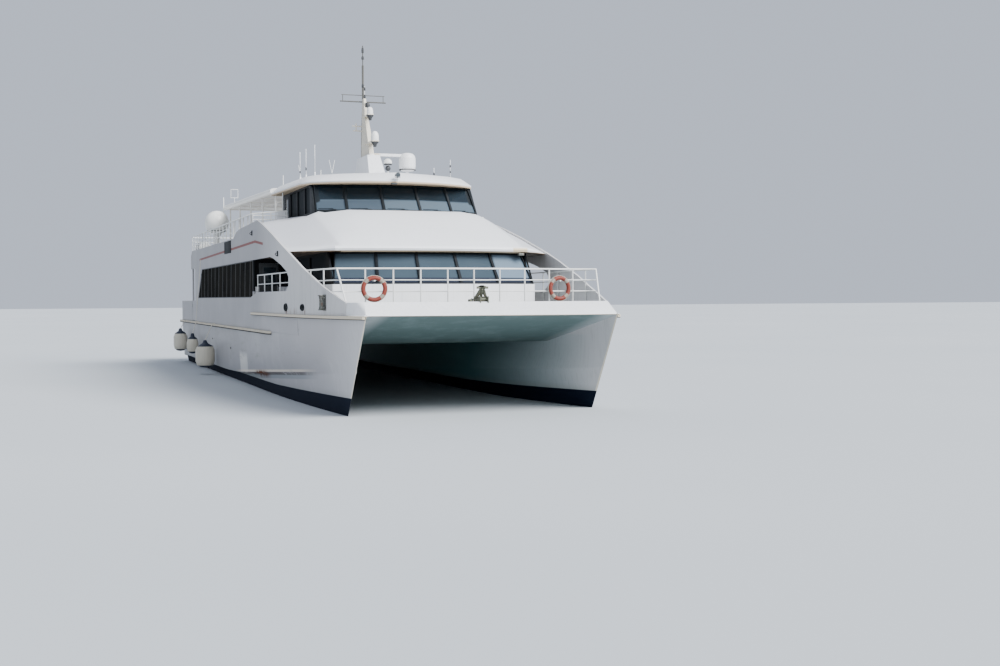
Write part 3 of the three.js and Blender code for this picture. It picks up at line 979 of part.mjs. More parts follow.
const bladeSections = [[90, 150, 60], [180, 210, 48], [280, 230, 36], [360, 190, 28], [395, 90, 22]];
function blade() {
  const rings = bladeSections.map(([r, chord, pitch]) => {
    const tilt = pitch * THREE.MathUtils.DEG2RAD;
    const [sine, cosine] = [Math.sin(tilt), Math.cos(tilt)];
    return [[-0.5, 0], [0, 0.06], [0.5, 0], [0, -0.06]].map(([u, t]) => {
      const [along, thick] = [u * chord, t * chord + Math.sign(t) * 4];
      return vec(along * cosine - thick * sine, along * sine + thick * cosine, r);
    });
  });
  return loft(rings);
}
const bladeAt = (k) => {
  const geometry = geometryOf(blade());
  geometry.rotateX((k * 2 * Math.PI) / 5);
  return solid(geometry);
};
const shaftBore = bar([-110, 0, 0], [130, 0, 0], SHAFT_RADIUS + 0.9, 24);
const hub = bar([PROP.hub * -1.6, 0, 0], [120, 0, 0], PROP.hub, 20).subtract(shaftBore);
const propeller = joined(hub, [0, 1, 2, 3, 4].map(bladeAt));

const rudderBlade = loft([
  [[160, 0], [60, 42], [-340, 8], [-340, -8], [60, -42]].map(([x, y]) => vec(x, y, RUDDER.bottom)),
  [[200, 0], [80, 62], [-420, 10], [-420, -10], [80, -62]].map(([x, y]) => vec(x, y, RUDDER.top - 150)),
]);
const rudderStock = bar([0, 0, RUDDER.top - 200], [0, 0, -30], RUDDER.stock, 24);

for (const side of SIDES) {
  const y = side.sign * PROP.y;
  const spin = { at: [PROP.x, y, PROP.z], turn: [0, -SHAFT_ANGLE, 0] };
  piece(`propeller_${side.name}`, propeller, BRONZE, spin);
  piece(`rudder_${side.name}`, rudderBlade.add(rudderStock), NAVY, { at: [RUDDER.x, y, 0] });
}

export default ferry;
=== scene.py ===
import json
import math

import bmesh
import bpy
from mathutils import Matrix, Vector

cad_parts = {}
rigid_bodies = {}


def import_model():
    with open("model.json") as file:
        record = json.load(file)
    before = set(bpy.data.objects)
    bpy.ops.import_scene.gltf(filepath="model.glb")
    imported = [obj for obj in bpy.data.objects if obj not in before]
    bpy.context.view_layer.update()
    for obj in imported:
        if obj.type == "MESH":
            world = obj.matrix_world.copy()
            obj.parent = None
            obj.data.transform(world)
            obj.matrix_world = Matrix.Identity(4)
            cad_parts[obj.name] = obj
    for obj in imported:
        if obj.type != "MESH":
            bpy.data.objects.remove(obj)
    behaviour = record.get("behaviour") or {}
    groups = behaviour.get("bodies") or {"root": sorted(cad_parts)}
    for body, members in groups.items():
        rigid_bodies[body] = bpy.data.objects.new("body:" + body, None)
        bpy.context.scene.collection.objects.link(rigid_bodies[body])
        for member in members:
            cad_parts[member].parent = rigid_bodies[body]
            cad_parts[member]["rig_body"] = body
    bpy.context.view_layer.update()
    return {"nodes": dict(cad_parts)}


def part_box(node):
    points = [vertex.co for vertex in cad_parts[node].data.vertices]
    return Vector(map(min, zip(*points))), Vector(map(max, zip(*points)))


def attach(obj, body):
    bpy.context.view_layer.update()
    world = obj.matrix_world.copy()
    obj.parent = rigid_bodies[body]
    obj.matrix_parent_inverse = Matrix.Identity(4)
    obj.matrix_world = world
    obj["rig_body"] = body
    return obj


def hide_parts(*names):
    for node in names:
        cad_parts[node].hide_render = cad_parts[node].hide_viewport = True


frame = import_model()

scene = bpy.context.scene


# Camera
# The view is from ahead of the bows, off the starboard bow and a little above the waterline, through a long
# lens. FOCAL is in pixels of the 1000 x 666 frame; the angles turn a camera that looks aft.
FRAME_WIDTH = 1000
FOCAL = 1282
EYE = Vector((52.42, -12.07, 3.33))
YAW = math.radians(20.0)
PITCH = math.radians(-1.58)
ROLL = math.radians(-0.28)

sight = Vector((-math.cos(YAW) * math.cos(PITCH), math.sin(YAW) * math.cos(PITCH), math.sin(PITCH)))
level = sight.cross(Vector((0, 0, 1))).normalized()
plumb = level.cross(sight)
camera_right = math.cos(ROLL) * level + math.sin(ROLL) * plumb
camera_up = math.cos(ROLL) * plumb - math.sin(ROLL) * level
camera = bpy.data.objects.new("camera", bpy.data.cameras.new("camera"))
scene.collection.objects.link(camera)
camera.data.sensor_width = 36.0
camera.data.lens = camera.data.sensor_width * FOCAL / FRAME_WIDTH
camera.data.clip_end = 2000.0
turn = Matrix((camera_right, camera_up, -sight)).transposed()
camera.matrix_world = Matrix.Translation(EYE) @ turn.to_4x4()
scene.camera = camera


# Stage
# A pale matt floor at the waterline, a pale grey sky, one broad light from ahead, to port and above, and a
# weak low one from ahead that reaches into the tunnel: the light of a bright overcast day, with its
# starboard side in soft shade.
FLOOR_SIDE = 900.0
FLOOR_COLOUR = "#b6bcc1"
SKY_COLOUR = "#c5cede"
SKY_STRENGTH = 1.12
KEY_DIRECTION = Vector((0.75, 0.55, 0.75))
KEY_STRENGTH = 7.5
KEY_SPREAD = math.radians(35)
FILL_DIRECTION = Vector((1.0, -0.1, 0.16))
FILL_STRENGTH = 0.9
FILL_SPREAD = math.radians(60)


def linear(colour):
    """The linear values, with an alpha of 1, of an sRGB hex colour."""
    parts = [int(colour[i:i + 2], 16) / 255 for i in (1, 3, 5)]
    return [c / 12.92 if c <= 0.04045 else ((c + 0.055) / 1.055) ** 2.4 for c in parts] + [1.0]


def set_up(node, settings):
    """Sets a node's properties, and its sockets, each to a value, a hex colour or another node's output."""
    for name, value in settings.items():
        if isinstance(name, str) and name not in node.inputs:
            setattr(node, name, value)
        elif isinstance(value, bpy.types.NodeSocket):
            node.id_data.links.new(value, node.inputs[name])
        else:
            node.inputs[name].default_value = linear(value) if isinstance(value, str) else value


def add_node(tree, kind, settings, output=0):
    """Adds a node, sets it up and gives one of its outputs."""
    made = tree.nodes.new("ShaderNode" + kind)
    set_up(made, settings)
    return made.outputs[output]


def noise(place, scale, detail, roughness=0.5):
    """A noise's values, read at a place."""
    return add_node(place.id_data, "TexNoise",
                    {"Vector": place, "Scale": scale, "Detail": detail, "Roughness": roughness})


def tones(value, low, dark, high, light):
    """A ramp from one colour, up to the value low, to another from high on."""
    ramp = add_node(value.id_data, "ValToRGB", {"Fac": value})
    for element, place, colour in zip(ramp.node.color_ramp.elements, (low, high), (dark, light)):
        element.position = place
        element.color = linear(colour)
    return ramp


def new_material(name):
    """An empty material, its shader, and the object coordinates that its patterns read."""
    material = bpy.data.materials.new(name)
    material.use_nodes = True
    tree = material.node_tree
    tree.nodes.clear()
    shader = tree.nodes.new("ShaderNodeBsdfPrincipled")
    set_up(tree.nodes.new("ShaderNodeOutputMaterial"), {"Surface": shader.outputs["BSDF"]})
    return material, shader, add_node(tree, "TexCoord", {}, "Object")


def matt_floor():
    """Matt studio paper: one pale grey with a slow change of tone, so that it doesn't look cut out."""
    material, shader, place = new_material("studio paper, matt")
    tone = tones(noise(place, 0.05, 2.0), 0.3, FLOOR_COLOUR, 0.7, "#bcc1c5")
    set_up(shader, {"Base Color": tone, "Roughness": 0.9})
    return material


bm = bmesh.new()
bmesh.ops.create_grid(bm, x_segments=2, y_segments=2, size=FLOOR_SIDE / 2)
floor_mesh = bpy.data.meshes.new("floor")
bm.to_mesh(floor_mesh)
bm.free()
floor_mesh.materials.append(matt_floor())
floor = bpy.data.objects.new("floor", floor_mesh)
scene.collection.objects.link(floor)

world = bpy.data.worlds.new("overcast")
world.use_nodes = True
set_up(world.node_tree.nodes["Background"], {"Color": SKY_COLOUR, "Strength": SKY_STRENGTH})
scene.world = world

for name, direction, strength, spread in (("key", KEY_DIRECTION, KEY_STRENGTH, KEY_SPREAD),
                                          ("fill", FILL_DIRECTION, FILL_STRENGTH, FILL_SPREAD)):
    light = bpy.data.objects.new(name, bpy.data.lights.new(name, "SUN"))
    light.data.energy = strength
    light.data.angle = spread
    light.rotation_euler = direction.to_track_quat("Z", "Y").to_euler()
    scene.collection.objects.link(light)


# Hulls
# Two slender hulls of welded aluminium plate, sprayed with white marine enamel over filler, with a dark navy
# band at the waterline and dull antifouling under it. Rain leaves faint grey streaks down the sides.
WELD = 0.0002
# painted shade: the hull white is laid greyer than the upper works' white, and the starboard grey greyer
# still
HULL_WHITE_SHADED = "#cfcecf"
SIDE_SHADE_GREY = "#b2b0b2"
GRIME = "#9a9a96"
BOOT_NAVY = "#0b1424"
RUST = "#633619"
BOOT_TOP = 0.38
# the chine's upper edge is CHINE_FOOT high amidships and climbs by CHINE_RISE for each metre forward; each
# band along it has its limits below and above that edge, its colour, and how patchy it is
CHINE_RISE = 0.0509
CHINE_FOOT = 0.362
CHINE_BLUR = 0.012
# bands: a painted shadow below the chine, a dark line of rust and painted shade, and a pale edge
CHINE_BANDS = [(-0.2, -0.055, "#8d959b", (0.0, 0.3)), (-0.075, 0.03, "#33261c", (0.3, 0.45)),
               (0.03, 0.11, "#fbeedc", (0.2, 0.36))]
STEM_FOOT = 17.04
STEM_RAKE = 0.6927
# painted shade and green reflection: both tunnel colours are laid darker and greener than the paint is
TUNNEL_GREEN_AND_SHADE = "#596f6e"
TUNNEL_SHADE = "#70a3a8"


def shape_object(name, bm, material, body="ferry", soft=50):
    """Makes the bmesh an object that rides on a body; edges sharper than soft degrees stay crisp."""
    mesh = bpy.data.meshes.new(name)
    bm.to_mesh(mesh)
    bm.free()
    mesh.materials.append(material)
    mesh.shade_smooth()
    mesh.set_sharp_from_angle(angle=math.radians(soft))
    made = bpy.data.objects.new(name, mesh)
    scene.collection.objects.link(made)
    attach(made, body)
    return made


def dressed(node, material, ease=0.0, round_over=50, soft=40):
    """Stands a welded copy of a solid in its place, with its facets merged and its sharp edges eased."""
    source = frame["nodes"][node]
    source.data.materials.clear()
    source.data.materials.append(material)
    bm = bmesh.new()
    bm.from_mesh(source.data)
    bmesh.ops.remove_doubles(bm, verts=bm.verts, dist=WELD)
    bmesh.ops.dissolve_limit(bm, angle_limit=math.radians(0.15), verts=bm.verts, edges=bm.edges)
    if ease:
        sharp = [e for e in bm.edges
                 if len(e.link_faces) == 2 and e.calc_face_angle() > math.radians(round_over)]
        bmesh.ops.bevel(bm, geom=sharp, offset=ease, affect="EDGES", segments=2, profile=0.5, material=-1,
                        clamp_overlap=False)
    made = shape_object(node + ".finish", bm, material, source["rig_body"], soft)
    weights = made.modifiers.new("even shading", "WEIGHTED_NORMAL")
    weights.keep_sharp = True
    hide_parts(node)
    return made


def ranged(value, low, high, start=0.0, end=1.0):
    """A value with its range from low to high brought to start to end."""
    return add_node(value.id_data, "MapRange",
                    {"Value": value, "From Min": low, "From Max": high, "To Min": start, "To Max": end})


def maths(operation, first, *others):
    """The result of one operation on outputs or numbers, of which the first is an output."""
    return add_node(first.id_data, "Math", {"operation": operation, 0: first, **dict(enumerate(others, 1))})


def product(first, *others):
    """The product of several masks."""
    for other in others:
        first = maths("MULTIPLY", first, other)
    return first


def mixed(mask, under, over):
    """One colour where the mask is 0 and the other where it is 1."""
    return add_node(mask.id_data, "MixRGB", {"Fac": mask, "Color1": under, "Color2": over})


def stretched(place, scale):
    """A place's coordinates, multiplied by scale."""
    return add_node(place.id_data, "Mapping", {"Vector": place, "Scale": scale})


def bumped(height, strength, distance, **under):
    """The normal of a surface raised by a height, over another such Normal where one is given."""
    return add_node(height.id_data, "Bump",
                    {"Height": height, "Strength": strength, "Distance": distance, **under})


def sprayed_enamel(name, colour, streaks=0.25, roughness=0.32, frames=0.0, stain=GRIME, gloss=0.5):
    """Enamel sprayed on filled plate: half gloss, a faint unevenness from the plate, grey rain streaks."""
    material, shader, place = new_material(name)
    # streaks run down the plate, 60 mm wide and about 1.5 m long
    runs = ranged(noise(stretched(place, (9.0, 9.0, 0.5)), 1.6, 5.0, 0.6), 0.5, 0.78, 0.0, streaks)
    patches = noise(place, 0.55, 3.0)
    chalky = mixed(ranged(patches, 0.35, 0.75, 0.0, 0.12), colour, stain)
    bump = bumped(noise(place, 1.8, 1.0), 0.35, 0.012)
    if frames:
        # the plate is drawn in between its frames, which stand frames metres apart
        ribs = add_node(place.id_data, "TexWave", {"Vector": place, "Scale": math.pi / (10 * frames)}, "Fac")
        bump = bumped(ribs, 0.3, 0.004, Normal=bump)
    set_up(shader, {"Base Color": mixed(runs, chalky, stain), "Specular IOR Level": gloss, "Normal": bump,
                    "Roughness": ranged(patches, 0.3, 0.8, roughness, roughness + 0.2)})
    return material


def paint_over(material, mask, colour, roughness=None):
    """Lays a further coat on a material, where the mask is 1."""
    shader = material.node_tree.nodes["Principled BSDF"]
    under = shader.inputs["Base Color"].links[0].from_socket
    set_up(shader, {"Base Color": mixed(mask, under, colour)})
    if roughness is not None:
        old = shader.inputs["Roughness"].links[0].from_socket
        blend = add_node(mask.id_data, "Mix", {"Factor": mask, "A": old, "B": roughness})
        set_up(shader, {"Roughness": blend})


def place_parts(material):
    """The X, Y and Z outputs of the object coordinates that a material reads."""
    tree = material.node_tree
    place = tree.nodes["Texture Coordinate"].outputs["Object"]
    return add_node(tree, "SeparateXYZ", {"Vector": place}).node.outputs


def zone(material, soft, **limits):
    """A mask that is 1 inside limits of X, Y, Z or of the distance from the centreline, called Off."""
    xyz = place_parts(material)
    parts = []
    for axis, edges in limits.items():
        along = maths("ABSOLUTE", xyz["Y"]) if axis == "Off" else xyz[axis]
        parts += [ranged(along, edge - blur, edge + blur) for edge, blur in zip(edges, (soft, -soft))
                  if edge is not None]
    return product(*parts)


def speckled(mask, scale, low, high, stretch=(1.0, 1.0, 1.0)):
    """The mask broken up by a noise, as rust and old stains are."""
    place = mask.id_data.nodes["Texture Coordinate"].outputs["Object"]
    return product(mask, ranged(noise(stretched(place, stretch), scale, 6.0, 0.65), low, high))


def paint_zone(material, colour, roughness, soft, spots=None, **limits):
    """Lays a further coat inside limits, broken up where spots gives the numbers of a noise."""
    mask = zone(material, soft, **limits)
    paint_over(material, speckled(mask, *spots) if spots else mask, colour, roughness)


# the blotches of the starboard side's painted shade: the scale, low, high and stretch of their noise
SIDE_SHADE_STAINS = (1.7, 0.05, 0.42, (1.0, 1.0, 0.7))


def hull_enamel():
    """White enamel over plate above the waterline band, navy band and dull antifouling below it."""
    material = sprayed_enamel("marine enamel, sprayed on hull plate", HULL_WHITE_SHADED, streaks=0.4, frames=1.2,
                              gloss=0.1)
    xyz = place_parts(material)
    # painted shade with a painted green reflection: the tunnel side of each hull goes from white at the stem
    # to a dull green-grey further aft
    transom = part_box("port_hull")[0][0]
    inside = zone(material, 0.03, Off=(None, 3.66), Z=(None, 2.2), X=(transom + 0.06, None))
    paint_over(material, product(inside, ranged(xyz["X"], 17.6, 9.0)), TUNNEL_SHADE, 0.6)
    # painted shade: the starboard side is laid greyer in blotches like stains, and both sides grow darker
    # further aft; and there is one fresh patch of paint
    paint_zone(material, SIDE_SHADE_GREY, None, 0.3, SIDE_SHADE_STAINS, Y=(None, -3.85))
    worn = zone(material, 0.6, Off=(3.9, None), Z=(None, 2.6))
    paint_over(material, product(worn, ranged(xyz["X"], 13.0, -6.0, 0.0, 0.42)), "#828486")
    paint_zone(material, "#dddbd6", None, 0.12, (1.2, 0.2, 0.45),
               X=(1.45, 3.3), Z=(0.40, 1.2), Off=(4.0, None))
    # the spray chine: a pale band along its edge, a dark line under it, partly rust and partly painted shade,
    # a painted soft shadow below that, and rust running down from it
    height = maths("ADD", maths("MULTIPLY_ADD", xyz["X"], -CHINE_RISE, -CHINE_FOOT), xyz["Z"])
    reach = zone(material, 1.0, X=(0.9, 13.4), Off=(3.9, None))
    for low, high, colour, dulled in CHINE_BANDS:
        band = product(ranged(height, low - CHINE_BLUR, low + CHINE_BLUR),
                       ranged(height, high + CHINE_BLUR, high - CHINE_BLUR), reach)
        paint_over(material, speckled(band, 1.3, *dulled), colour, 0.75)
    run = product(ranged(height, 0.13, 0.03), ranged(height, -0.22, -0.08),
                  zone(material, 0.5, X=(5.0, 7.0), Off=(3.9, None)))
    paint_over(material, speckled(run, 2.6, 0.36, 0.52, (1.0, 1.0, 0.6)), RUST, 0.8)
    # scuffs where the air fenders rub
    paint_zone(material, "#a3a39f", 0.6, 0.25, (1.4, 0.56, 0.75, (0.6, 1.0, 2.5)),
               Z=(0.75, 1.9), Off=(4.2, None))
    # scum and stain, 180 mm high, over the painted line, which rises a little towards the stems
    under = maths("SUBTRACT", ranged(xyz["X"], 8.0, 19.0, BOOT_TOP, 0.56), xyz["Z"])
    paint_over(material, ranged(under, -0.18, 0.0, 0.0, 0.35), "#8f948c")
    # the stem bar keeps a thicker, creamier coat
    ahead = maths("ADD", maths("MULTIPLY_ADD", xyz["Z"], -STEM_RAKE, -STEM_FOOT), xyz["X"])
    paint_over(material, ranged(ahead, -0.09, -0.07), "#efe6d3", 0.4)
    paint_over(material, ranged(under, 0.0, 0.012), BOOT_NAVY, 0.8)
    return material


hull_coat = hull_enamel()
for side in ("starboard", "port"):
    dressed(side + "_hull", hull_coat, soft=30)


# Overboard drains and exhausts
# Short pipe ends welded through the hull plate: scuppers that drain the decks, and near each quarter a wet
# exhaust. Each is given by the middle of its port mouth and its radius.
SIDES = (("starboard", -1), ("port", 1))
DRAINS = [((-0.84, 4.44, 1.32), 0.035), ((13.28, 4.36, 2.37), 0.03), ((-6.4, 4.44, 1.55), 0.03),
          ((-13.2, 4.44, 1.3), 0.04), ((-17.2, 4.40, 0.75), 0.11)]


def add_turned(bm, profile, place, steps):
    """Turns a profile of (radius, height) pairs about the z axis and moves the form to its place."""
    old = set(bm.verts)
    points = [bm.verts.new((radius, 0.0, height)) for radius, height in profile]
    edges = [bm.edges.new(pair) for pair in zip(points, points[1:])]
    bmesh.ops.spin(bm, geom=points + edges, axis=(0, 0, 1), cent=(0, 0, 0), angle=math.tau, steps=steps,
                   use_merge=True)
    fresh = [v for v in bm.verts if v not in old]
    bmesh.ops.remove_doubles(bm, verts=fresh, dist=0.00002)
    fresh = [v for v in bm.verts if v not in old]
    bmesh.ops.transform(bm, matrix=place, verts=fresh)
    bmesh.ops.recalc_face_normals(bm, faces=list({f for v in fresh for f in v.link_faces}))


def add_rod(bm, start, end, radius, sides):
    """A round rod from start to end, closed at both ends."""
    start, end = Vector(start), Vector(end)
    run = end - start
    place = Matrix.Translation((start + end) / 2) @ run.to_track_quat("Z", "Y").to_matrix().to_4x4()
    bmesh.ops.create_cone(bm, cap_ends=True, segments=sides, radius1=radius, radius2=radius, depth=run.length,
                          matrix=place)


def add_block(bm, low, high, ease=0.0, lean=None):
    """A block between two corners, its edges rounded, and leaning about its own middle."""
    middle = [(a + b) / 2 for a, b in zip(low, high)]
    size = [b - a for a, b in zip(low, high)]
    place = Matrix.Translation(middle) @ (lean or Matrix()) @ Matrix.Diagonal((*size, 1.0))
    verts = bmesh.ops.create_cube(bm, size=1.0, matrix=place)["verts"]
    if ease:
        edges = list({e for v in verts for e in v.link_edges})
        bmesh.ops.bevel(bm, geom=edges, offset=ease, affect="EDGES", segments=2, profile=0.5, material=-1)


def facing(point, direction):
    """A place whose z axis points along a direction."""
    return Matrix.Translation(point) @ Vector(direction).to_track_quat("Z", "Y").to_matrix().to_4x4()


def both_sides(name, build, material, body="ferry"):
    """Builds a piece for the port side and its mirror image for the starboard side."""
    for side, sign in SIDES:
        bm = bmesh.new()
        build(bm)
        if sign < 0:
            bmesh.ops.scale(bm, vec=(1, -1, 1), verts=bm.verts)
            bmesh.ops.recalc_face_normals(bm, faces=bm.faces)
        shape_object(f"{name}.{side}", bm, material, body.format(side), 40)


def bare_steel(name, colour, stain, roughness=0.5, rust=0.5, light="#8f908c"):
    """Bare or galvanised steel: dull grey with a fine crystal mottle, bleeding rust from its corners."""
    material, shader, place = new_material(name)
    mottle = add_node(place.id_data, "TexVoronoi", {"Vector": place, "Scale": 30.0})
    bleed = noise(place, 7.0, 6.0, 0.7)
    cut = ranged(bleed, 0.62 - rust * 0.2, 0.75 - rust * 0.1)
    set_up(shader, {"Base Color": mixed(cut, tones(mottle, 0.0, colour, 1.0, light), stain),
                    "Metallic": ranged(cut, 0.0, 1.0, 0.75, 0.0), "Roughness": roughness,
                    "Normal": bumped(bleed, 0.4, 0.002)})
    return material


zinc_coat = bare_steel("hot-dip galvanised steel, weathered", "#7b7d79", RUST)


def add_drains(bm):
    for middle, r in DRAINS:
        lip = [(r * 0.75, -0.1), (r * 0.75, 0.05), (r, 0.05), (r, 0.02), (r * 1.5, 0.012), (r * 1.5, -0.1),
               (r * 0.75, -0.1)]
        add_turned(bm, lip, facing(middle, (0, 1, -0.1)), 14)


both_sides("overboard_drain", add_drains, zinc_coat)


# Bridging deck
# The raised body between the hulls, with its sloping front over the tunnel. Its underside keeps an older
# grey-green coat that has gone dull, streaked where spray dries, laid darker and greener than it is as a
# painted shade and green reflection, and paler towards the hulls.
tunnel_coat = sprayed_enamel("grey-green tank coating, rolled", TUNNEL_GREEN_AND_SHADE, streaks=0.35, roughness=0.5,
                             stain="#5d6a68", gloss=0.3)
paint_zone(tunnel_coat, "#aeb6b8", 0.5, 0.28, Off=(3.25, None))
paint_zone(tunnel_coat, "#748888", 0.5, 0.2, (1.1, 0.5, 0.8, (1, 1, 0.3)), X=(14.0, None))
dressed("bridge_deck", tunnel_coat)


# Decks
# Aluminium deck plates with a rolled, gritty non-slip paint in grey. The upper deck's edge is sprayed white,
# as the sides are.
DECK_GREY = "#9aa09f"
GRIT = 0.012


def deck_grit(name, colour):
    """Non-slip paint: a rolled coat full of grit, drawn coarser than the real 1 mm so that it shows."""
    material, shader, place = new_material(name)
    worn = noise(place, 0.9, 5.0)
    set_up(shader, {"Base Color": tones(worn, 0.35, colour, 0.7, "#b3b8b7"),
                    "Roughness": ranged(worn, 0.0, 1.0, 0.7, 0.85),
                    "Normal": bumped(noise(place, 1 / GRIT, 2.0), 0.6, 0.002)})
    return material


deck_coat = deck_grit("non-slip deck paint, rolled", DECK_GREY)
paint_zone(deck_coat, "#e2e3e4", 0.4, 0.005, Z=(3.0, 5.335))
for deck in ("foredeck", "main_deck", "upper_deck"):
    dressed(deck, deck_coat, ease=0.004)


# Superstructure
# Cabin sides, wings, front roof, walls and coamings of thin aluminium plate, filled, faired and sprayed
# white. A thin red line runs along the upper side, and spray leaves tan edges on the lips and rails.
UPPER_WHITE = "#e9eaec"
LINE_RED = "#7a3328"
LINE_HALF = 0.047
LIP_TAN = "#cbb598"


def red_line(material):
    """The thin line along the upper side, rising slowly and turning down at its fore end."""
    xyz = place_parts(material)
    climb = ranged(xyz["X"], -10.7, 5.77, 5.22, 5.40)
    middle = maths("SUBTRACT", climb, ranged(xyz["X"], 5.77, 7.44, 0.0, 0.15))
    away = maths("ABSOLUTE", maths("SUBTRACT", middle, xyz["Z"]))
    near = ranged(away, LINE_HALF + 0.005, LINE_HALF - 0.005)
    return product(near, zone(material, 0.05, X=(-10.7, 7.44), Off=(4.3, None)))


def white_enamel(where, colour, streaks, roughness, **more):
    """The upper works' enamel, in the tone and wear of one part of them."""
    return sprayed_enamel("marine enamel, sprayed on " + where, colour, streaks, roughness, **more)


upper_coat = white_enamel("faired plate", UPPER_WHITE, 0.16, 0.28)
# painted shade: the sides' white is laid greyer than the upper works' white, the starboard side darker still,
# the more so further aft and in blotches low down forward; the post abaft each opening is black
side_coat_shaded = white_enamel("side plate", "#cdcccc", 0.4, 0.4, gloss=0.12)
paint_zone(side_coat_shaded, "#a5a4a6", None, 2.6, X=(None, 8.6), Y=(None, -1.9))
paint_zone(side_coat_shaded, SIDE_SHADE_GREY, None, 0.01, SIDE_SHADE_STAINS, Y=(None, -3.85), Z=(None, 2.83), X=(7.0, None))
paint_over(side_coat_shaded, red_line(side_coat_shaded), LINE_RED, 0.4)
paint_zone(side_coat_shaded, "#14181a", 0.6, 0.006, X=(4.98, 5.67), Z=(3.6, 4.745), Off=(4.2, None))
# rust bleeds from the fairleads near the foot of each wing
paint_zone(side_coat_shaded, RUST, 0.8, 0.08, (5.0, 0.5, 0.66, (1.0, 1.0, 0.15)),
           X=(11.3, 14.2), Z=(2.86, 3.0), Off=(3.9, None))
# the front roof has painted shade on its shoulders, is tan along its lip, and is dark and stained under it
roof_coat = white_enamel("front roof", "#eceef1", 0.12, 0.3)
paint_zone(roof_coat, "#dbdce0", 0.35, 0.05, Off=(3.05, None), Z=(4.98, None))
paint_zone(roof_coat, "#d9c9ab", 0.5, 0.03, Y=(2.68, 3.25), X=(12.5, None), Z=(4.80, 4.95))
paint_zone(roof_coat, LIP_TAN, 0.6, 0.006, Z=(None, 4.832))
paint_zone(roof_coat, "#5c4836", 0.8, 0.012, Z=(None, 4.815), Off=(3.0, None))
paint_zone(roof_coat, "#241a12", 0.8, 0.012, (4.0, 0.4, 0.6), Z=(None, 4.815), Off=(3.0, None))
band_coat = white_enamel("bow coaming", UPPER_WHITE, 0.2, 0.3)
paint_zone(band_coat, "#d3c8b3", 0.6, 0.004, Z=(None, 2.848))
paint_zone(band_coat, "#4a4640", 0.7, 0.004, Z=(None, 2.762))
wall_coat = white_enamel("cabin walls", UPPER_WHITE, 0.2, 0.35, gloss=0.25)
paint_zone(wall_coat, "#07090b", 0.9, 0.004, Z=(3.77, None), Off=(3.2, None))
lid_coat = white_enamel("wheelhouse roof", UPPER_WHITE, 0.14, 0.3)
paint_zone(lid_coat, LIP_TAN, 0.6, 0.006, Z=(None, 7.352))
for side, _ in SIDES:
    dressed("wing_" + side, side_coat_shaded, ease=0.012)
    dressed("side_wall_" + side, side_coat_shaded, ease=0.008)
    dressed("boarding_gate_" + side, side_coat_shaded, ease=0.004)
    dressed("hatch_lid_" + side, upper_coat, ease=0.01)
dressed("bow_band", band_coat, ease=0.02)
dressed("front_roof", roof_coat, ease=0.012, soft=9)
dressed("saloon_fore_wall", wall_coat, ease=0.006)
dressed("saloon_aft_wall", upper_coat, ease=0.004)
dressed("bridge_roof", lid_coat, ease=0.01, round_over=42)
dressed("stern_bulwark", side_coat_shaded, ease=0.006)
dressed("deck_locker", upper_coat, ease=0.01)
dressed("aft_stairs", bare_steel("aluminium tread plate, mill finish", "#8f9294", "#77776f", 0.42, 0.1),
        ease=0.002)


# Side trim
# A louvred vent in each upper bulwark, a pale strip that leans along the after end of the window band, black
# oval rims round the rope holes in the wings, each with a black sleeve into the hole as a painted shade, and
# a roller fairlead and two pad eyes bolted outside each wing.
SIDE_FACE = 4.5
LOUVRE = {"x": (-2.04, -0.18), "z": (5.2, 5.7), "slats": 9}
STRIP = {"foot": (-12.4, 2.26), "head": (-10.2, 5.21), "wide": 0.06}
# each rope hole has its x and z, and half its length and height
ROPE_HOLES = [(11.6, 3.055, 0.21, 0.1), (13.85, 3.06, 0.17, 0.08)]
ROLLERS = {"x": 16.08, "z": (3.02, 3.40), "y": 4.215, "out": 0.15, "apart": 0.055, "turn": -0.13}
PAD_EYES = [(5.12, 5.74), (10.29, 4.81)]
BORDER = 0.03
black_plastic = sprayed_enamel("black enamel, satin, on vents", "#25282a", streaks=0.1, roughness=0.6,
                               stain="#3c4145", gloss=0.15)


def add_louvre(bm):
    (x0, x1), (z0, z1), y = LOUVRE["x"], LOUVRE["z"], SIDE_FACE
    add_block(bm, (x0, y - 0.01, z0), (x1, y + 0.004, z1))
    for a, b, c, d in ((x0, x1, z0, z0 + BORDER), (x0, x1, z1 - BORDER, z1), (x0, x0 + BORDER, z0, z1),
                       (x1 - BORDER, x1, z0, z1)):
        add_block(bm, (a, y - 0.005, c), (b, y + 0.018, d), 0.003)
    pitch = (z1 - z0 - 2 * BORDER) / LOUVRE["slats"]
    for i in range(LOUVRE["slats"]):
        z = z0 + BORDER + pitch * (i + 0.5)
        add_block(bm, (x0 + 0.02, y, z - 0.022), (x1 - 0.02, y + 0.006, z + 0.022), 0.001,
                  Matrix.Rotation(math.radians(28), 4, "X"))


def add_strip(bm):
    (x0, z0), (x1, z1) = STRIP["foot"], STRIP["head"]
    lean = math.atan2(x1 - x0, z1 - z0)
    length = math.hypot(x1 - x0, z1 - z0)
    x, z = (x0 + x1) / 2, (z0 + z1) / 2
    half = STRIP["wide"] / 2
    low = (x - half, SIDE_FACE - 0.005, z - length / 2)
    high = (x + half, SIDE_FACE + 0.012, z + length / 2)
    add_block(bm, low, high, 0.004, Matrix.Rotation(lean, 4, "Y"))


def ring_section(radius, tube, steps=6):
    """The round section of a ring, drawn in steps; radius is to the middle of its tube."""
    turns = [math.radians(360 / steps * step) for step in range(steps + 1)]
    return [(radius + tube * math.cos(a), tube * math.sin(a)) for a in turns]


def wing_face(x):
    """How far the wing's outer face is from the centreline."""
    return 3.7 + 0.8 * (1 - (1 - min(1.0, (19.0 - x) / 10)) ** 2.9)


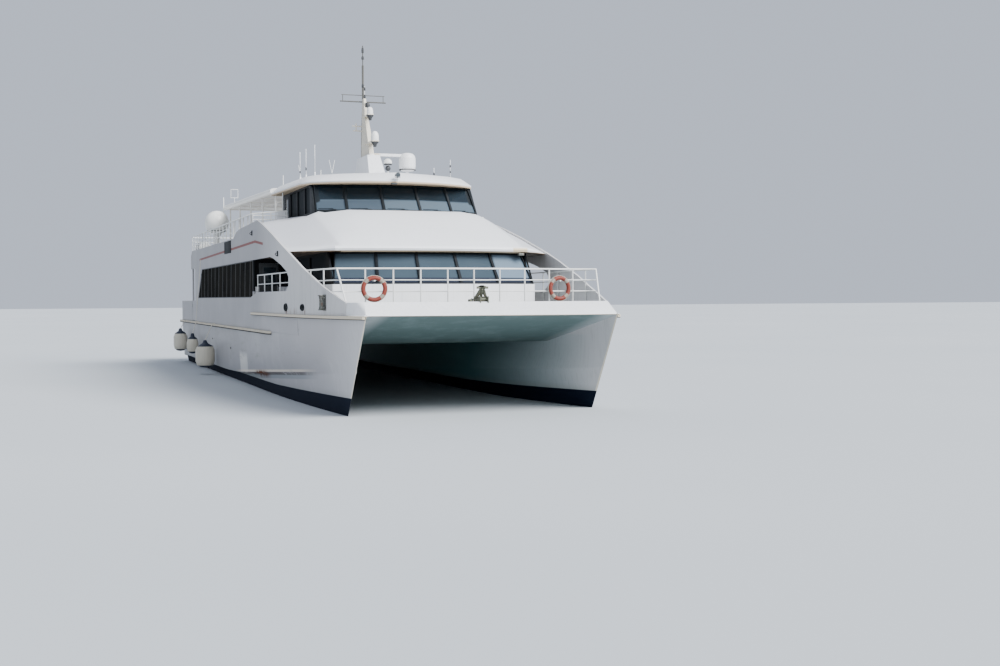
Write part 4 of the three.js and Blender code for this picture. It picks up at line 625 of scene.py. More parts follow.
def add_rope_holes(bm):
    for x, z, long, tall in ROPE_HOLES:
        slant = (wing_face(x + 0.1) - wing_face(x - 0.1)) / 0.2
        # painted shade: the rim runs on into the hole as a black sleeve 0.1 m deep
        rim = [(0.62, -0.1), (0.62, 0.0), (0.93, 0.0)]
        rim += [(1.12 - 0.19 * math.cos(math.radians(a)), 0.035 * math.sin(math.radians(a)))
                for a in range(30, 181, 30)]
        rim += [(1.31, -0.02), (0.62, -0.1)]
        place = facing((x, wing_face(x), z), (-slant, 1, 0))
        add_turned(bm, rim, place @ Matrix.Diagonal((long, tall, 1.0, 1.0)), 24)


def add_roller_fairlead(bm):
    x, (z0, z1), y, out, half = (ROLLERS[k] for k in ("x", "z", "y", "out", "apart"))
    add_block(bm, (x - 0.13, y - 0.03, z0 - 0.04), (x + 0.13, y, z1 + 0.04), 0.004)
    for z in (z0 - 0.03, z1):
        add_block(bm, (x - 0.12, y - 0.01, z), (x + 0.12, y + out, z + 0.03), 0.006)
    for along in (-half, half):
        waist = [(0.0, z0), (0.052, z0), (0.052, z0 + 0.03), (0.038, z0 + 0.08), (0.038, z1 - 0.08),
                 (0.052, z1 - 0.03), (0.052, z1), (0.0, z1)]
        add_turned(bm, waist, Matrix.Translation((x + along, y + out * 0.6, 0)), 14)
    for z in (z0 + 0.04, z1 - 0.04):
        add_rod(bm, (x - 0.14, y + out * 0.35, z), (x + 0.14, y + out * 0.35, z), 0.03, 12)
    bmesh.ops.rotate(bm, verts=bm.verts, cent=(x, y, 0), matrix=Matrix.Rotation(ROLLERS["turn"], 3, "Z"))


def add_pad_eyes(bm):
    for x, z in PAD_EYES:
        y = wing_face(x)
        add_block(bm, (x - 0.09, y - 0.005, z - 0.09), (x + 0.09, y + 0.02, z + 0.09), 0.006)
        add_turned(bm, ring_section(0.04, 0.012), facing((x, y + 0.04, z - 0.02), (1, 0, 0)), 16)


both_sides("bulwark_louvre", add_louvre, black_plastic)
cream_strip = sprayed_enamel("cream enamel, brushed on trim", "#dcd5c2", streaks=0.3, roughness=0.5,
                             stain="#8a7a5c")
both_sides("side_trim_strip", add_strip, cream_strip)
both_sides("rope_hole_rim", add_rope_holes, black_plastic)
rusty_steel = bare_steel("steel, painted once, rusting", "#4c4f46", RUST, 0.7, 0.55)
both_sides("roller_fairlead", add_roller_fairlead, rusty_steel)
both_sides("wing_pad_eyes", add_pad_eyes, black_plastic)


# Windows
# Tinted safety glass bonded to black frames, glossy, with the cabin just showing through it. The wheelhouse
# panes carry a painted reflection of the roof below them, the saloon front a painted reflection of the sky;
# the side band is close to black, with a painted reflection in its warmer tone.
def tinted_glass(name, tint, other, opacity, level):
    """Toughened sheet glass with a body tint: sharp reflections, a slow drift of tone along the row."""
    material, shader, place = new_material(name)
    film = noise(place, 0.7, 2.0)
    set_up(shader, {"Base Color": mixed(film, tint, other), "Roughness": ranged(film, 0.0, 1.0, 0.03, 0.09),
                    "IOR": 1.52, "Specular IOR Level": level, "Alpha": opacity})
    return material


# painted reflection: the saloon front's grey-blue tones stand mostly for the sky reflected in it
saloon_pane = tinted_glass("tinted safety glass, saloon front", "#39464f", "#45525d", 0.94, 0.12)
# painted reflection: the side band's warmer second tone stands for reflections in the glass
side_pane = tinted_glass("tinted safety glass, cabin sides", "#15181a", "#34322e", 0.95, 0.0)
bridge_pane = tinted_glass("tinted safety glass, wheelhouse", "#161f26", "#1f2a32", 0.95, 0.2)
# painted reflection: the lower part of the front panes is pale, a little darker to starboard, for the roof
# below
paint_zone(bridge_pane, "#52606b", 0.1, 0.03, Z=(6.2, 6.745), X=(8.3, None))
paint_zone(bridge_pane, "#434f5a", 0.1, 0.03, Z=(6.2, 6.72), X=(8.3, None), Y=(None, -0.65))
paint_zone(bridge_pane, "#161d22", 0.75, 0.02, X=(None, 8.6), Off=(2.7, None))
paint_zone(saloon_pane, "#10161c", 0.8, 0.02, X=(None, 13.0), Off=(3.2, None))
# painted reflection: a paler patch on the port panes of the saloon front
paint_zone(saloon_pane, "#6b7c8b", 0.1, 0.05, Y=(2.02, 3.4), X=(12.8, None))
paint_zone(saloon_pane, "#2a2f3b", 0.2, 0.02, Z=(None, 3.97), X=(13.0, None))
dressed("saloon_fore_glass", saloon_pane)
dressed("bridge_glass", bridge_pane)
for side, _ in SIDES:
    dressed("side_glass_" + side, side_pane)


# Window frames and gaskets
# Black satin enamel on aluminium sections for the two fronts and the wheelhouse sides. Slanted grey-black
# bars stand outside the side band, and flat gaskets follow its two edges.
SIDE_BARS = {"first": -10.2, "pitch": 1.22, "count": 13, "wide": 0.045, "lean": 0.16, "sill": 3.385,
             "head": 4.745, "y": (4.468, 4.484)}
# the gaskets along the band's upper and lower edges, each by two corners
GASKETS = [((-9.95, 4.47, 4.715), (5.11, 4.488, 4.755)), ((-11.4, 4.47, 3.375), (4.66, 4.488, 3.405))]
black_coat = sprayed_enamel("black enamel, satin, on window frames", "#15191d", streaks=0.1, roughness=0.45,
                            stain="#3c4145", gloss=0.12)
dressed("saloon_front_frame", black_coat, ease=0.004)
front_black = sprayed_enamel("black enamel, satin, on wheelhouse front", "#12171b", streaks=0.1,
                             roughness=0.5, stain="#2c3135", gloss=0.15)
dressed("bridge_front_frame", front_black, ease=0.004)
dressed("bridge_walls", black_coat, ease=0.004)


def add_side_bars(bm):
    bars = SIDE_BARS
    lean = math.atan2(bars["lean"], bars["head"] - bars["sill"])
    half, (inner, outer) = bars["wide"] / 2, bars["y"]
    for i in range(bars["count"]):
        x = bars["first"] + i * bars["pitch"]
        add_block(bm, (x - half, inner, bars["sill"]), (x + half, outer, bars["head"]), 0.003,
                  Matrix.Rotation(lean, 4, "Y"))
    for low, high in GASKETS:
        add_block(bm, low, high, 0.004)


bar_coat = sprayed_enamel("grey-black enamel, satin, on side bars", "#4a4d4e", streaks=0.2, roughness=0.5,
                          stain="#6a5a4c", gloss=0.15)
both_sides("side_window_bars", add_side_bars, bar_coat)


# Wheelhouse wipers
# A pantograph wiper on each front pane, parked along the sill: pivot boss, arm and rubber blade, all black.
FRONT_CORNERS = [(8.888, -2.92), (9.228, -1.88), (9.528, -0.65), (9.528, 0.65), (9.228, 1.88), (8.888, 2.92)]
SILL_Z, HEAD_Z, FRONT_LEAN = 6.33, 7.30, 0.76
FACES_AHEAD, FACES_UP = 0.79, 0.61


def on_front(bay, t, h, proud):
    """A point of a wheelhouse pane, at t along its bay and h up it, standing proud of the frame."""
    (xa, ya), (xb, yb) = FRONT_CORNERS[bay], FRONT_CORNERS[bay + 1]
    x, y = xa + (xb - xa) * t, (ya + (yb - ya) * t) * (1 - 0.028 * h)
    z = SILL_Z + (HEAD_Z - SILL_Z) * h
    return Vector((x - FRONT_LEAN * h + FACES_AHEAD * proud, y, z + FACES_UP * proud))


bm = bmesh.new()
for bay in range(5):
    boss = on_front(bay, 0.62, 0.03, 0.0)
    add_turned(bm, [(0, -0.01), (0.035, -0.01), (0.035, 0.02), (0.02, 0.035), (0, 0.035)],
               facing(boss, (FACES_AHEAD, 0, FACES_UP)), 12)
    add_rod(bm, on_front(bay, 0.62, 0.03, 0.03), on_front(bay, 0.30, 0.075, 0.025), 0.008, 6)
    add_rod(bm, on_front(bay, 0.08, 0.075, 0.018), on_front(bay, 0.55, 0.075, 0.018), 0.011, 6)
shape_object("wheelhouse_wipers", bm, black_coat)


# Doors
# Enamelled leaves, each with a small pane set in it and a pull handle; the after doors are glazed from
# kick plate to head. The fixed panes of the after walls are of the same glass.
grey_coat = sprayed_enamel("grey enamel, satin, on door leaves", "#2f3336", streaks=0.1, roughness=0.5,
                           gloss=0.2)
handle_steel = bare_steel("stainless bar, brushed", "#a9abac", "#8a8a84", 0.3, 0.0)
door_pane = tinted_glass("tinted safety glass, doors", "#1b2327", "#2b353b", 0.92, 0.3)
for side, _ in SIDES:
    dressed("bridge_door_" + side, black_coat, ease=0.004)
    dressed("neck_door_" + side, grey_coat, ease=0.003)
    dressed("aft_door_" + side, grey_coat, ease=0.003)


def add_pull(bm, foot, rise, out):
    """A bow handle of bar, standing off a leaf."""
    foot, rise, out = Vector(foot), Vector((0, 0, rise)), Vector(out)
    add_rod(bm, foot, foot + out, 0.008, 8)
    add_rod(bm, foot + rise, foot + rise + out, 0.008, 8)
    add_rod(bm, foot + out - rise * 0.06, foot + out + rise * 1.06, 0.009, 8)


# each leaf's pane, by its low and high corners, and its pull, by its foot, rise and stand-off
LEAF_FITTINGS = [
    ("bridge_door", ((3.50, 2.939, 6.42), (4.10, 2.947, 7.08)), ((3.46, 2.938, 6.15), 0.22, (0, 0.045, 0))),
    ("neck_door", ((5.257, 3.68, 3.80), (5.265, 4.12, 4.48)), ((5.256, 3.62, 3.60), 0.2, (0.045, 0, 0))),
    ("aft_door", ((-12.598, 0.10, 2.62), (-12.59, 0.75, 4.2)), ((-12.592, 0.055, 3.15), 0.3, (-0.05, 0, 0))),
]
for leaf, pane, pull in LEAF_FITTINGS:
    both_sides(leaf + "_pane", lambda bm: add_block(bm, *pane, 0.003), door_pane,
               leaf + "_{}")
    both_sides(leaf + "_pull", lambda bm: add_pull(bm, *pull), handle_steel, leaf + "_{}")
both_sides("gate_latch", lambda bm: add_pull(bm, (-13.86, 4.482, 2.95), 0.12, (0, 0.03, 0)), handle_steel,
           "boarding_gate_{}")


# the panes let into the after walls of the saloon and the wheelhouse: y, z and the wall's x
AFTER_PANES = [((1.15, 2.35), (3.3, 4.4), -12.6), ((2.6, 4.1), (3.3, 4.4), -12.6),
               ((0.35, 1.35), (6.45, 7.15), 3.0), ((1.5, 2.65), (6.45, 7.15), 3.0)]


def add_after_windows(bm):
    for (y0, y1), (z0, z1), x in AFTER_PANES:
        add_block(bm, (x - 0.008, y0, z0), (x + 0.004, y1, z1), 0.003)


both_sides("after_window", add_after_windows, door_pane)


# Hatch lid fittings
# Two dogs of galvanised steel on each lid, which screw it down on the coaming's rubber, and a lifting handle
# of bent bar.
LID_TOP = 3.04
DOG_X, DOG_YS = 15.68, (1.5, 1.9)
HANDLE_X, HANDLE_YS = 15.55, (1.62, 1.78)


def add_lid_fittings(bm):
    spindle = [(0, 0), (0.03, 0), (0.03, 0.02), (0.014, 0.025), (0.014, 0.05), (0, 0.05)]
    for y in DOG_YS:
        add_turned(bm, [(r, LID_TOP + h) for r, h in spindle], Matrix.Translation((DOG_X, y, 0)), 12)
        add_rod(bm, (DOG_X - 0.06, y, LID_TOP + 0.042), (DOG_X + 0.06, y, LID_TOP + 0.042), 0.009, 8)
    bar = LID_TOP + 0.03
    add_rod(bm, (HANDLE_X, HANDLE_YS[0], bar), (HANDLE_X, HANDLE_YS[1], bar), 0.009, 8)
    for y in HANDLE_YS:
        add_rod(bm, (HANDLE_X, y, LID_TOP), (HANDLE_X, y, bar + 0.002), 0.009, 8)


both_sides("hatch_lid_dogs", add_lid_fittings, zinc_coat, "hatch_lid_{}")


# Rails
# Welded aluminium pipe, painted white, a little yellowed where spray dries on it.
rail_coat = sprayed_enamel("white enamel on rail pipe, brushed", "#e3e4e1", streaks=0.12, roughness=0.35)
for rail in ("foredeck_rail", "upper_rail_starboard", "upper_rail_port"):
    dressed(rail, rail_coat, soft=65)


# Awning
# A low white roof of coated sheet with rolled edges on a frame of pipes. The sheet glows faintly warm, most
# of all on its underside and the lower faces of its pipes: a painted light for the daylight under it.
def lit_sheet():
    """Thin coated sheet: smooth, half matt, with a faint painted glow, strongest on its underside."""
    material = sprayed_enamel("coated sheet of the awning, rolled", "#eeeeea", streaks=0.1, roughness=0.45)
    tree = material.node_tree
    lie = add_node(tree, "NewGeometry", {}, "Normal")
    under = ranged(add_node(tree, "SeparateXYZ", {"Vector": lie}, "Z"), 0.2, -0.6, 0.18)
    set_up(tree.nodes["Principled BSDF"], {"Emission Color": mixed(under, "#000000", "#b3aeaa"),
                                           "Emission Strength": 0.5})
    return material


dressed("awning", lit_sheet(), soft=45)


# Fender rail
# A D-section of rubber, painted cream, scuffed and split where it rubs, with a painted shade along its lower
# edge.
rubber_coat = sprayed_enamel("cream painted rubber of the fender rail", "#cfc6b2", streaks=0.6, roughness=0.7,
                             stain="#6a5c48")
# painted shade: the rail is dark along its lower edge
paint_zone(rubber_coat, "#2a2724", 0.8, 0.004, Z=(None, 2.155))
dressed("fender_rail", rubber_coat, ease=0.012)


# Life rings
# Hard foam rings in orange covers with four pale bands, hung on pegs of the foredeck rail, and a grab line
# held under the bands.
RING_TURN = math.radians(6.44)
RING_RADIUS = 0.31
RING_TUBE = 0.062
LINE_TUBE = 0.007
QUARTER = math.pi / 4


def ring_cover(name, centre):
    """A sewn cover: orange woven cloth with pale bands a sixteenth of the way round each quarter."""
    material, shader, place = new_material(name)
    tree = material.node_tree
    local = add_node(tree, "Mapping", {"Vector": place, "Location": -Vector(centre)})
    xyz = add_node(tree, "SeparateXYZ", {"Vector": local}).node.outputs
    turned = maths("PINGPONG", maths("ARCTAN2", xyz["Z"], xyz["Y"]), QUARTER)
    band = ranged(turned, QUARTER - 0.2, QUARTER - 0.185)
    cloth = noise(place, 26.0, 3.0)
    orange = tones(cloth, 0.3, "#6f271c", 0.75, "#843524")
    set_up(shader, {"Base Color": mixed(band, orange, "#8f877b"), "Normal": bumped(cloth, 0.3, 0.002),
                    "Roughness": ranged(cloth, 0.0, 1.0, 0.5, 0.75)})
    return material


def laid_rope(name, colour, lay):
    """Laid polyester rope, its strands drawn lay metres apart along any run."""
    material, shader, place = new_material(name)
    strands = add_node(place.id_data, "TexWave", {"Vector": place, "Scale": 0.3 / lay, "Distortion": 1.5,
                                                  "bands_direction": "DIAGONAL"}, "Fac")
    set_up(shader, {"Base Color": mixed(strands, colour, "#8d8a80"), "Roughness": 0.85,
                    "Normal": bumped(strands, 0.5, 0.003)})
    return material


rope = laid_rope("laid polyester rope, off-white", "#d8d4c6", 0.02)
for side, sign in SIDES:
    node = "life_ring_" + side
    low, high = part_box(node)
    centre = (Vector(low) + Vector(high)) / 2
    # the cover follows the solid's place, drawn rounder
    place = facing(centre, (math.cos(RING_TURN), sign * math.sin(RING_TURN), 0))
    bm = bmesh.new()
    add_turned(bm, ring_section(RING_RADIUS, RING_TUBE, 16), place, 48)
    cover = ring_cover("woven life ring cover, " + side, centre)
    made = shape_object(node + ".cover", bm, cover)
    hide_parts(node)
    bm = bmesh.new()
    add_turned(bm, ring_section(RING_RADIUS + RING_TUBE + 0.006, LINE_TUBE), place, 40)
    shape_object(node + ".grab_line", bm, rope)


# Air fenders
# Inflated vinyl fenders, off-white with navy ends, each hung by a lanyard over the fender rail. Each is
# given by the height of its middle over the water and its length.
FENDERS = [(0.84, 1.08), (1.11, 0.85), (1.16, 1.05)]
END_NAVY = "#1c2536"
for number, (z, tall) in enumerate(FENDERS, 1):
    vinyl = sprayed_enamel(f"inflated vinyl, fender {number}", "#ccc6b5", streaks=0.3, roughness=0.4,
                           stain="#8f8a7c")
    paint_zone(vinyl, END_NAVY, 0.45, 0.006, Z=(z + tall / 2 - 0.14, None))
    paint_zone(vinyl, END_NAVY, 0.45, 0.006, Z=(None, z - tall / 2 + 0.11))
    paint_zone(vinyl, "#cfcabc", 0.8, 0.004, Z=(z + tall / 2 + 0.145, None))
    dressed(f"fender_{number}", vinyl, soft=60)


# Domes
# Moulded glass-fibre covers over satellite aerials: the large one on a pedestal at the starboard rail, the
# small one on the mast's arm, each with a dark rubber joint round its foot.
gel_coat = sprayed_enamel("gel-coat, moulded", "#e4e4e0", streaks=0.1, roughness=0.25)
joint_rubber = sprayed_enamel("black rubber joint", "#2a2624", streaks=0.2, roughness=0.7)
dressed("large_dome", gel_coat, soft=50)
DOME_FEET = [((-9.15, -3.86, 6.545), 0.44), ((4.425, 1.615, 8.285), 0.312)]
bm = bmesh.new()
for spot, radius in DOME_FEET:
    add_turned(bm, ring_section(radius, 0.02), Matrix.Translation(spot), 40)
shape_object("dome_joints", bm, joint_rubber)


# Liferaft canisters
# Two-part glass-fibre canisters bolted along a flange, strapped down to their cradles with webbing.
RAFT = {"x": (-13.8, -12.5), "y": 4.02, "z": 5.9, "radius": 0.29}
for side, _ in SIDES:
    dressed("liferaft_" + side, gel_coat, ease=0.03, soft=50)


def add_raft_bands(bm):
    (x0, x1), r = RAFT["x"], RAFT["radius"]
    inner, outer, half = r - 0.01, r + 0.008, 0.025
    hoop = [(inner, -half), (outer, -half), (outer, half), (inner, half), (inner, -half)]
    for x in (x0 + 0.2, (x0 + x1) / 2, x1 - 0.2):
        add_turned(bm, hoop, facing((x, RAFT["y"], RAFT["z"]), (1, 0, 0)), 32)


both_sides("liferaft_straps", add_raft_bands,
           sprayed_enamel("black webbing strap, woven", "#2b2d30", streaks=0.2, roughness=0.9))


# Mast
# A raked casing and column of aluminium plate under white and cream enamel, its pole and yard gone grey.
mast_coat = sprayed_enamel("marine enamel, brushed on the mast", UPPER_WHITE, streaks=0.3, roughness=0.35)
paint_zone(mast_coat, "#cfc8b8", 0.5, 0.05, Z=(8.75, None), Off=(None, 0.5))
paint_zone(mast_coat, "#55544f", 0.6, 0.01, X=(None, 3.985), Z=(8.72, None))
for front, z in ((4.86, 10.286), (5.53, 9.21)):
    paint_zone(mast_coat, "#e6e6e4", 0.35, 0.01, X=(front, None), Z=(z, z + 0.4))
dressed("mast", mast_coat, ease=0.004)


# Mast fittings
# Hooded lamps on their shelves, a whistle and lamp on the roof, and the small aerials; painted white with
# dark undersides and black glands.
lamp_black = sprayed_enamel("black enamel on lamp housings", "#24272b", streaks=0.15, roughness=0.5)
# each hood under a lantern shelf has its x, z and radius, and each gland its foot, radius and height
HOODS = [(5.0, 10.25, 0.135), (5.7, 9.17, 0.14)]
GLANDS = [((5.05, 2.5, 7.72), 0.035, 0.42), ((7.1, 2.5, 7.76), 0.024, 0.05), ((7.1, 2.5, 7.95), 0.024, 0.07),
          ((7.1, 2.5, 8.15), 0.024, 0.09), ((5.4, -2.76, 7.95), 0.022, 0.08),
          ((6.5, -2.76, 7.95), 0.022, 0.1), ((3.93, 0, 11.45), 0.05, 0.14), ((3.93, 0, 12.78), 0.045, 0.2),
          ((3.93, 0, 12.53), 0.05, 0.12), ((4.2, 0, 11.0), 0.04, 0.14), ((4.2, 0, 11.3), 0.035, 0.12),
          ((4.62, 0, 10.6), 0.09, 0.16)]
bm = bmesh.new()
for x, z, r in HOODS:
    add_turned(bm, [(0, -0.2), (r * 0.4, -0.19), (r * 0.55, -0.1), (r, -0.03), (r, 0.002), (0, 0.002)],
               Matrix.Translation((x, 0, z)), 14)
for foot, r, h in GLANDS:
    add_turned(bm, [(0, 0), (r, 0), (r * 1.1, h * 0.5), (r * 0.8, h), (0, h)], Matrix.Translation(foot), 12)
shape_object("mast_glands", bm, lamp_black)

# each whip, stub and stanchion has its foot, tip and radius
WHIPS = [((8.32, -2.22, 7.69), (8.32, -2.32, 8.15), 0.009), ((8.32, -2.22, 7.69), (8.32, -2.12, 8.15), 0.009),
         ((7.7, -2.48, 7.66), (7.7, -2.48, 7.86), 0.014), ((4.37, -3.2, 7.6), (4.37, -3.2, 7.95), 0.018),
         ((4.9, -2.6, 7.68), (4.8, -2.7, 8.3), 0.009), ((-10.0, -3.42, 7.42), (-10.0, -3.42, 8.2), 0.024),
         ((4.36, -3.22, 5.351), (4.36, -3.22, 7.30), 0.022)]
LOOP = [(-7.3, -3.3, 7.5), (-7.3, -3.3, 7.98), (-7.3, -3.46, 7.98), (-7.3, -3.46, 8.36), (-7.3, -3.14, 8.36),
        (-7.3, -3.14, 7.98), (-7.3, -3.3, 7.98)]
# hooded lamp on a stalk beside the mast, and the short rod beside the pole
bm = bmesh.new()
add_rod(bm, (5.2, 0.63, 7.74), (5.2, 0.63, 8.42), 0.025, 10)
add_turned(bm, [(0, 0.0), (0.15, 0.0), (0.16, 0.03), (0.14, 0.12), (0.08, 0.18), (0, 0.2)],
           Matrix.Translation((5.2, 0.63, 8.42)), 18)
add_rod(bm, (4.2, 0, 10.9), (4.2, 0, 11.46), 0.012, 8)
add_rod(bm, (4.14, 0, 10.85), (4.62, 0, 10.74), 0.02, 8)
# whip and stub aerials, and a stanchion under the roof's overhang
for foot, tip, r in WHIPS:
    add_rod(bm, foot, tip, r, 8)
# square loop aerial on its stalk
for a, b in zip(LOOP, LOOP[1:]):
    add_rod(bm, a, b, 0.011, 8)
shape_object("roof_aerials", bm, rail_coat)

bm = bmesh.new()
add_turned(bm, [(0, -0.03), (0.145, -0.03), (0.155, 0.01), (0, 0.02)],
           Matrix.Translation((5.2, 0.63, 8.40)), 18)
ball = [(0.105 * math.sin(math.radians(a)), -0.105 * math.cos(math.radians(a))) for a in range(0, 181, 20)]
add_turned(bm, ball, Matrix.Translation((5.2, 0.63, 8.24)), 16)
add_block(bm, (9.47, -0.42, 7.25), (9.60, -0.22, 7.305), 0.008)
shape_object("lamp_undersides", bm, lamp_black)
bm = bmesh.new()
add_block(bm, (13.0, 2.9, 4.70), (13.12, 3.1, 4.795), 0.02)
shape_object("soffit_bracket", bm, rusty_steel)


# Searchlight
# A cast lamp in a fork on its turning foot, with a bezel round the glass, all in grey enamel.
LAMP = Vector((9.66, -0.23, 7.565))
lamp_grey = sprayed_enamel("grey enamel on cast lamp housing", "#50555a", streaks=0.2, roughness=0.5)
bm = bmesh.new()
add_turned(bm, [(0, -0.085), (0.045, -0.08), (0.07, -0.05), (0.078, -0.01), (0.078, 0.07), (0.083, 0.072),
                (0.083, 0.085), (0.07, 0.085), (0.066, 0.076), (0, 0.072)], facing(LAMP, (1, 0, 0)), 24)
for y in (-0.088, 0.088):
    add_block(bm, LAMP + Vector((-0.02, y - 0.005, -0.09)), LAMP + Vector((0.02, y + 0.005, 0.02)), 0.002)
add_block(bm, LAMP + Vector((-0.02, -0.093, -0.094)), LAMP + Vector((0.02, 0.093, -0.082)), 0.002)
add_rod(bm, LAMP + Vector((0, 0, -0.0947)), LAMP + Vector((0, 0, -0.08)), 0.026, 14)
made = shape_object("searchlight.lamp", bm, lamp_grey, "searchlight")
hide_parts("searchlight")
bm = bmesh.new()
add_turned(bm, [(0, 0.0), (0.066, 0.0), (0.066, 0.004), (0.03, 0.009), (0, 0.01)],
           facing(LAMP + Vector((0.0735, 0, 0)), (1, 0, 0)), 24)
shape_object("searchlight.lens", bm, tinted_glass("lamp glass, moulded", "#2f363b", "#474f54", 0.95, 0.4),
             "searchlight")


# Ground tackle
# Galvanised anchor, roller and windlass, rusting where the coat has worn. The drum turns between two
# cheeks of the windlass, and eight whelps stand on its barrel.
tackle_coat = bare_steel("galvanised castings, weathered olive grey", "#5b5d4f", RUST, 0.7, 0.4, "#75776a")
dressed("ground_tackle", tackle_coat, ease=0.006)
dressed("windlass_drum", zinc_coat, ease=0.004)
DRUM_AXIS = Vector((17.45, 0, 3.1703))
DRUM_RADIUS = 0.088
DRUM_HALF = Vector((0, 0.165, 0))
bm = bmesh.new()
for step in range(8):
    angle = math.radians(45 * step)
    middle = DRUM_AXIS + Vector((math.cos(angle), 0, math.sin(angle))) * DRUM_RADIUS
    add_rod(bm, middle - DRUM_HALF, middle + DRUM_HALF, 0.012, 8)
shape_object("windlass_whelps", bm, zinc_coat, "windlass_drum")


# Seats
# Rows of passenger seats: a crowned cushion and back in blue woven cloth for each place, on bent shells of
# moulding and legs of aluminium box.
CROWN = 0.18


def woven_cover(name, dark, light):
    """Woven upholstery: a matt blue cloth with a thread 4 mm wide, drawn coarser than the real 1 mm."""
    material, shader, place = new_material(name)
    threads = [add_node(place.id_data, "TexWave", {"Vector": place, "Scale": 40.0, "bands_direction": axis},
                        "Fac") for axis in "YZ"]
    weave = product(*threads)
    set_up(shader, {"Base Color": mixed(weave, dark, light), "Roughness": 0.9, "Sheen Weight": 0.3,
                    "Normal": bumped(weave, 0.3, 0.001)})
    return material


def cushion(size, place, cuts=3):
    """One stuffed cushion: a block divided, smoothed till its sides pull in, and crowned across its flats."""
    bm = bmesh.new()
    bmesh.ops.create_cube(bm, size=1.0)
    bmesh.ops.subdivide_edges(bm, edges=bm.edges, cuts=cuts, use_grid_fill=True)
    for _ in range(2):
        bmesh.ops.smooth_vert(bm, verts=bm.verts, factor=0.45, use_axis_x=True, use_axis_y=True,
                              use_axis_z=True)
    for v in bm.verts:
        u, w = 2 * v.co.x, 2 * v.co.y
        v.co.z *= 1 + CROWN * max(0.0, 1 - u * u) * max(0.0, 1 - w * w)
        v.co.x *= 1.04
        v.co.y *= 1.04
    bmesh.ops.transform(bm, matrix=place @ Matrix.Diagonal((*size, 1.0)), verts=bm.verts)
    return bm


def repeated(unit, places):
    """A bmesh with a copy of the unit at each place."""
    mesh = bpy.data.meshes.new("unit")
    unit.to_mesh(mesh)
    unit.free()
    bm = bmesh.new()
    for place in places:
        count = len(bm.verts)
        bm.from_mesh(mesh)
        bm.verts.ensure_lookup_table()
        bmesh.ops.translate(bm, vec=place, verts=bm.verts[count:])
    bpy.data.meshes.remove(mesh)
    return bm


def add_padding(name, unit, places):
    """A stuffed form in seat cloth at each place."""
    made = shape_object(name, repeated(unit, places), seat_cloth)


BACK_TILT = Matrix.Rotation(math.radians(-10), 4, "Y")
UPRIGHT = Matrix.Rotation(math.radians(90), 4, "Y")
SEATING = {
    "saloon": {"node": "saloon_seats", "rows": 15, "pitch": 1.05, "x": -11.4, "floor": 2.2403, "inner": 1.25,
               "step": 0.5, "seats": 6, "wide": 0.46, "cuts": 2},
    "deck": {"node": "deck_seats", "rows": 9, "pitch": 1.15, "x": -9.8, "floor": 5.3503, "inner": 0.95,
             "step": 0.485, "seats": 4, "wide": 0.45, "cuts": 3},
}
seat_cloth = woven_cover("woven seat cover, blue", "#22344f", "#3a567d")
shell_grey = sprayed_enamel("grey moulding of the seat shells", "#878c90", streaks=0.1, roughness=0.55)
for room, plan in SEATING.items():
    wide, cuts = plan["wide"], plan["cuts"]
    rows = [plan["x"] + row * plan["pitch"] for row in range(plan["rows"])]
    offs = [sign * (plan["inner"] + k * plan["step"]) for _, sign in SIDES for k in range(plan["seats"])]
    places = [Vector((x, y, plan["floor"])) for x in rows for y in offs]
    pad = cushion((0.42, wide, 0.11), Matrix.Translation((0.36, 0, 0.45)), cuts)
    add_padding(room + "_seat_cushions", pad, places)
    rest = cushion((0.62, wide, 0.09), Matrix.Translation((0.072, 0, 0.80)) @ BACK_TILT @ UPRIGHT, cuts)
    add_padding(room + "_seat_backs", rest, places)
    shell = bmesh.new()
    add_block(shell, (0.14, -wide / 2, 0.375), (0.56, wide / 2, 0.395), 0.006)
    add_block(shell, (0.0, -wide / 2, 0.42), (0.02, wide / 2, 1.06), 0.006, BACK_TILT)
    add_block(shell, (0.20, -0.02, 0.001), (0.26, 0.02, 0.38), 0.004)
    add_block(shell, (0.14, -0.03, 0.001), (0.42, 0.03, 0.02), 0.004)
    shells = shape_object(room + "_seat_shells", repeated(shell, places), shell_grey)
    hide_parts(plan["node"])


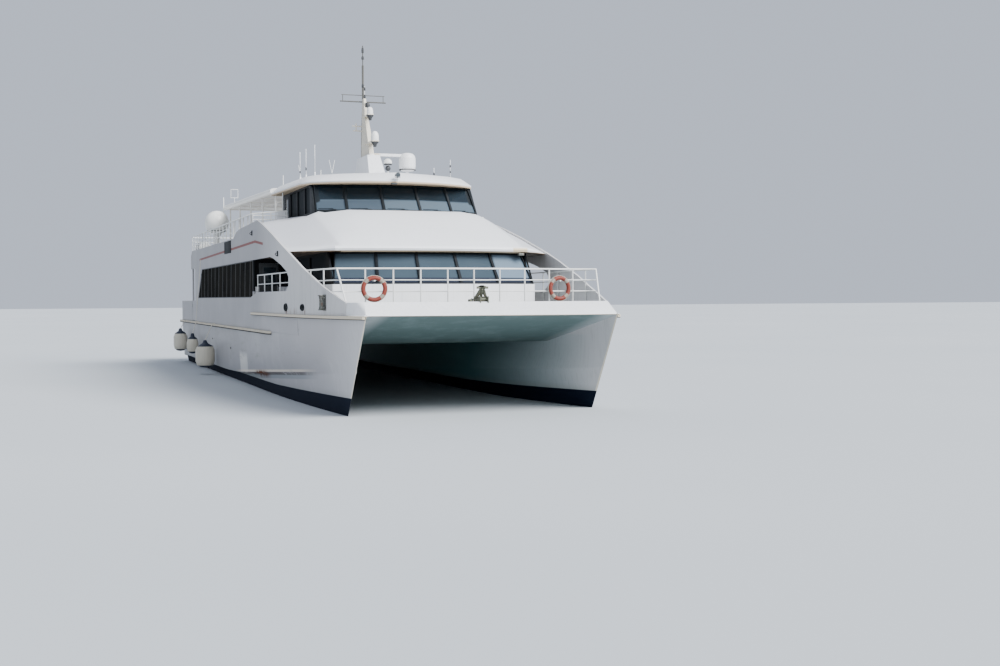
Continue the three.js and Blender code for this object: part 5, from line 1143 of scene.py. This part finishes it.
# Helm
# A console across the wheelhouse under a black anti-glare cover, with screens let into its slope, a small
# wheel, and two padded chairs on pedestals.
helm_cover = sprayed_enamel("black moulded plastic, matt", "#191b1e", streaks=0.05, roughness=0.6)
dressed("helm_station", helm_cover, ease=0.006)
SCREEN_YS = (-1.7, -0.9, 0.0, 0.9, 1.7)
CONSOLE_SLOPE = Matrix.Rotation(math.radians(-18.1), 4, "Y")
bm = bmesh.new()
for y in SCREEN_YS:
    add_block(bm, (7.88, y - 0.24, 6.335), (8.22, y + 0.24, 6.36), 0.005, CONSOLE_SLOPE)
shape_object("helm_screens", bm, door_pane)
# the wheel has three spokes and stands on a short shaft from the console
WHEEL = Vector((7.60, -0.9, 6.12))
WHEEL_RADIUS = 0.17
hub = facing(WHEEL, (-1, 0, 0.5))
bm = bmesh.new()
add_turned(bm, ring_section(WHEEL_RADIUS, 0.013), hub, 28)
for step in range(3):
    angle = math.radians(90 + 120 * step)
    spoke_end = hub @ Vector((WHEEL_RADIUS * math.cos(angle), WHEEL_RADIUS * math.sin(angle), 0))
    add_rod(bm, WHEEL, spoke_end, 0.009, 8)
add_rod(bm, WHEEL, (7.72, -0.9, 6.06), 0.02, 10)
shape_object("helm_wheel", bm, handle_steel)
add_padding("helm_chair_cushions", cushion((0.42, 0.46, 0.10), Matrix()),
            [Vector((6.94, sign * 0.9, 5.92)) for _, sign in SIDES])
add_padding("helm_chair_backs", cushion((0.62, 0.44, 0.09), Matrix.Rotation(math.radians(86), 4, "Y")),
            [Vector((6.755, sign * 0.9, 6.27)) for _, sign in SIDES])


# Stern gear
# Cast bronze propellers, worn bright on their blades with green in their roots, and spade rudders of
# welded plate in antifouling.
bronze_coat = bare_steel("cast bronze, worn bright", "#8d7448", "#4d5a44", 0.35, 0.4)
dull_coat = sprayed_enamel("antifouling, dull", "#141b2b", streaks=0.2, roughness=0.7)
for side, _ in SIDES:
    dressed("propeller_" + side, bronze_coat, ease=0.002, soft=35)
    dressed("rudder_" + side, dull_coat, ease=0.006, soft=40)
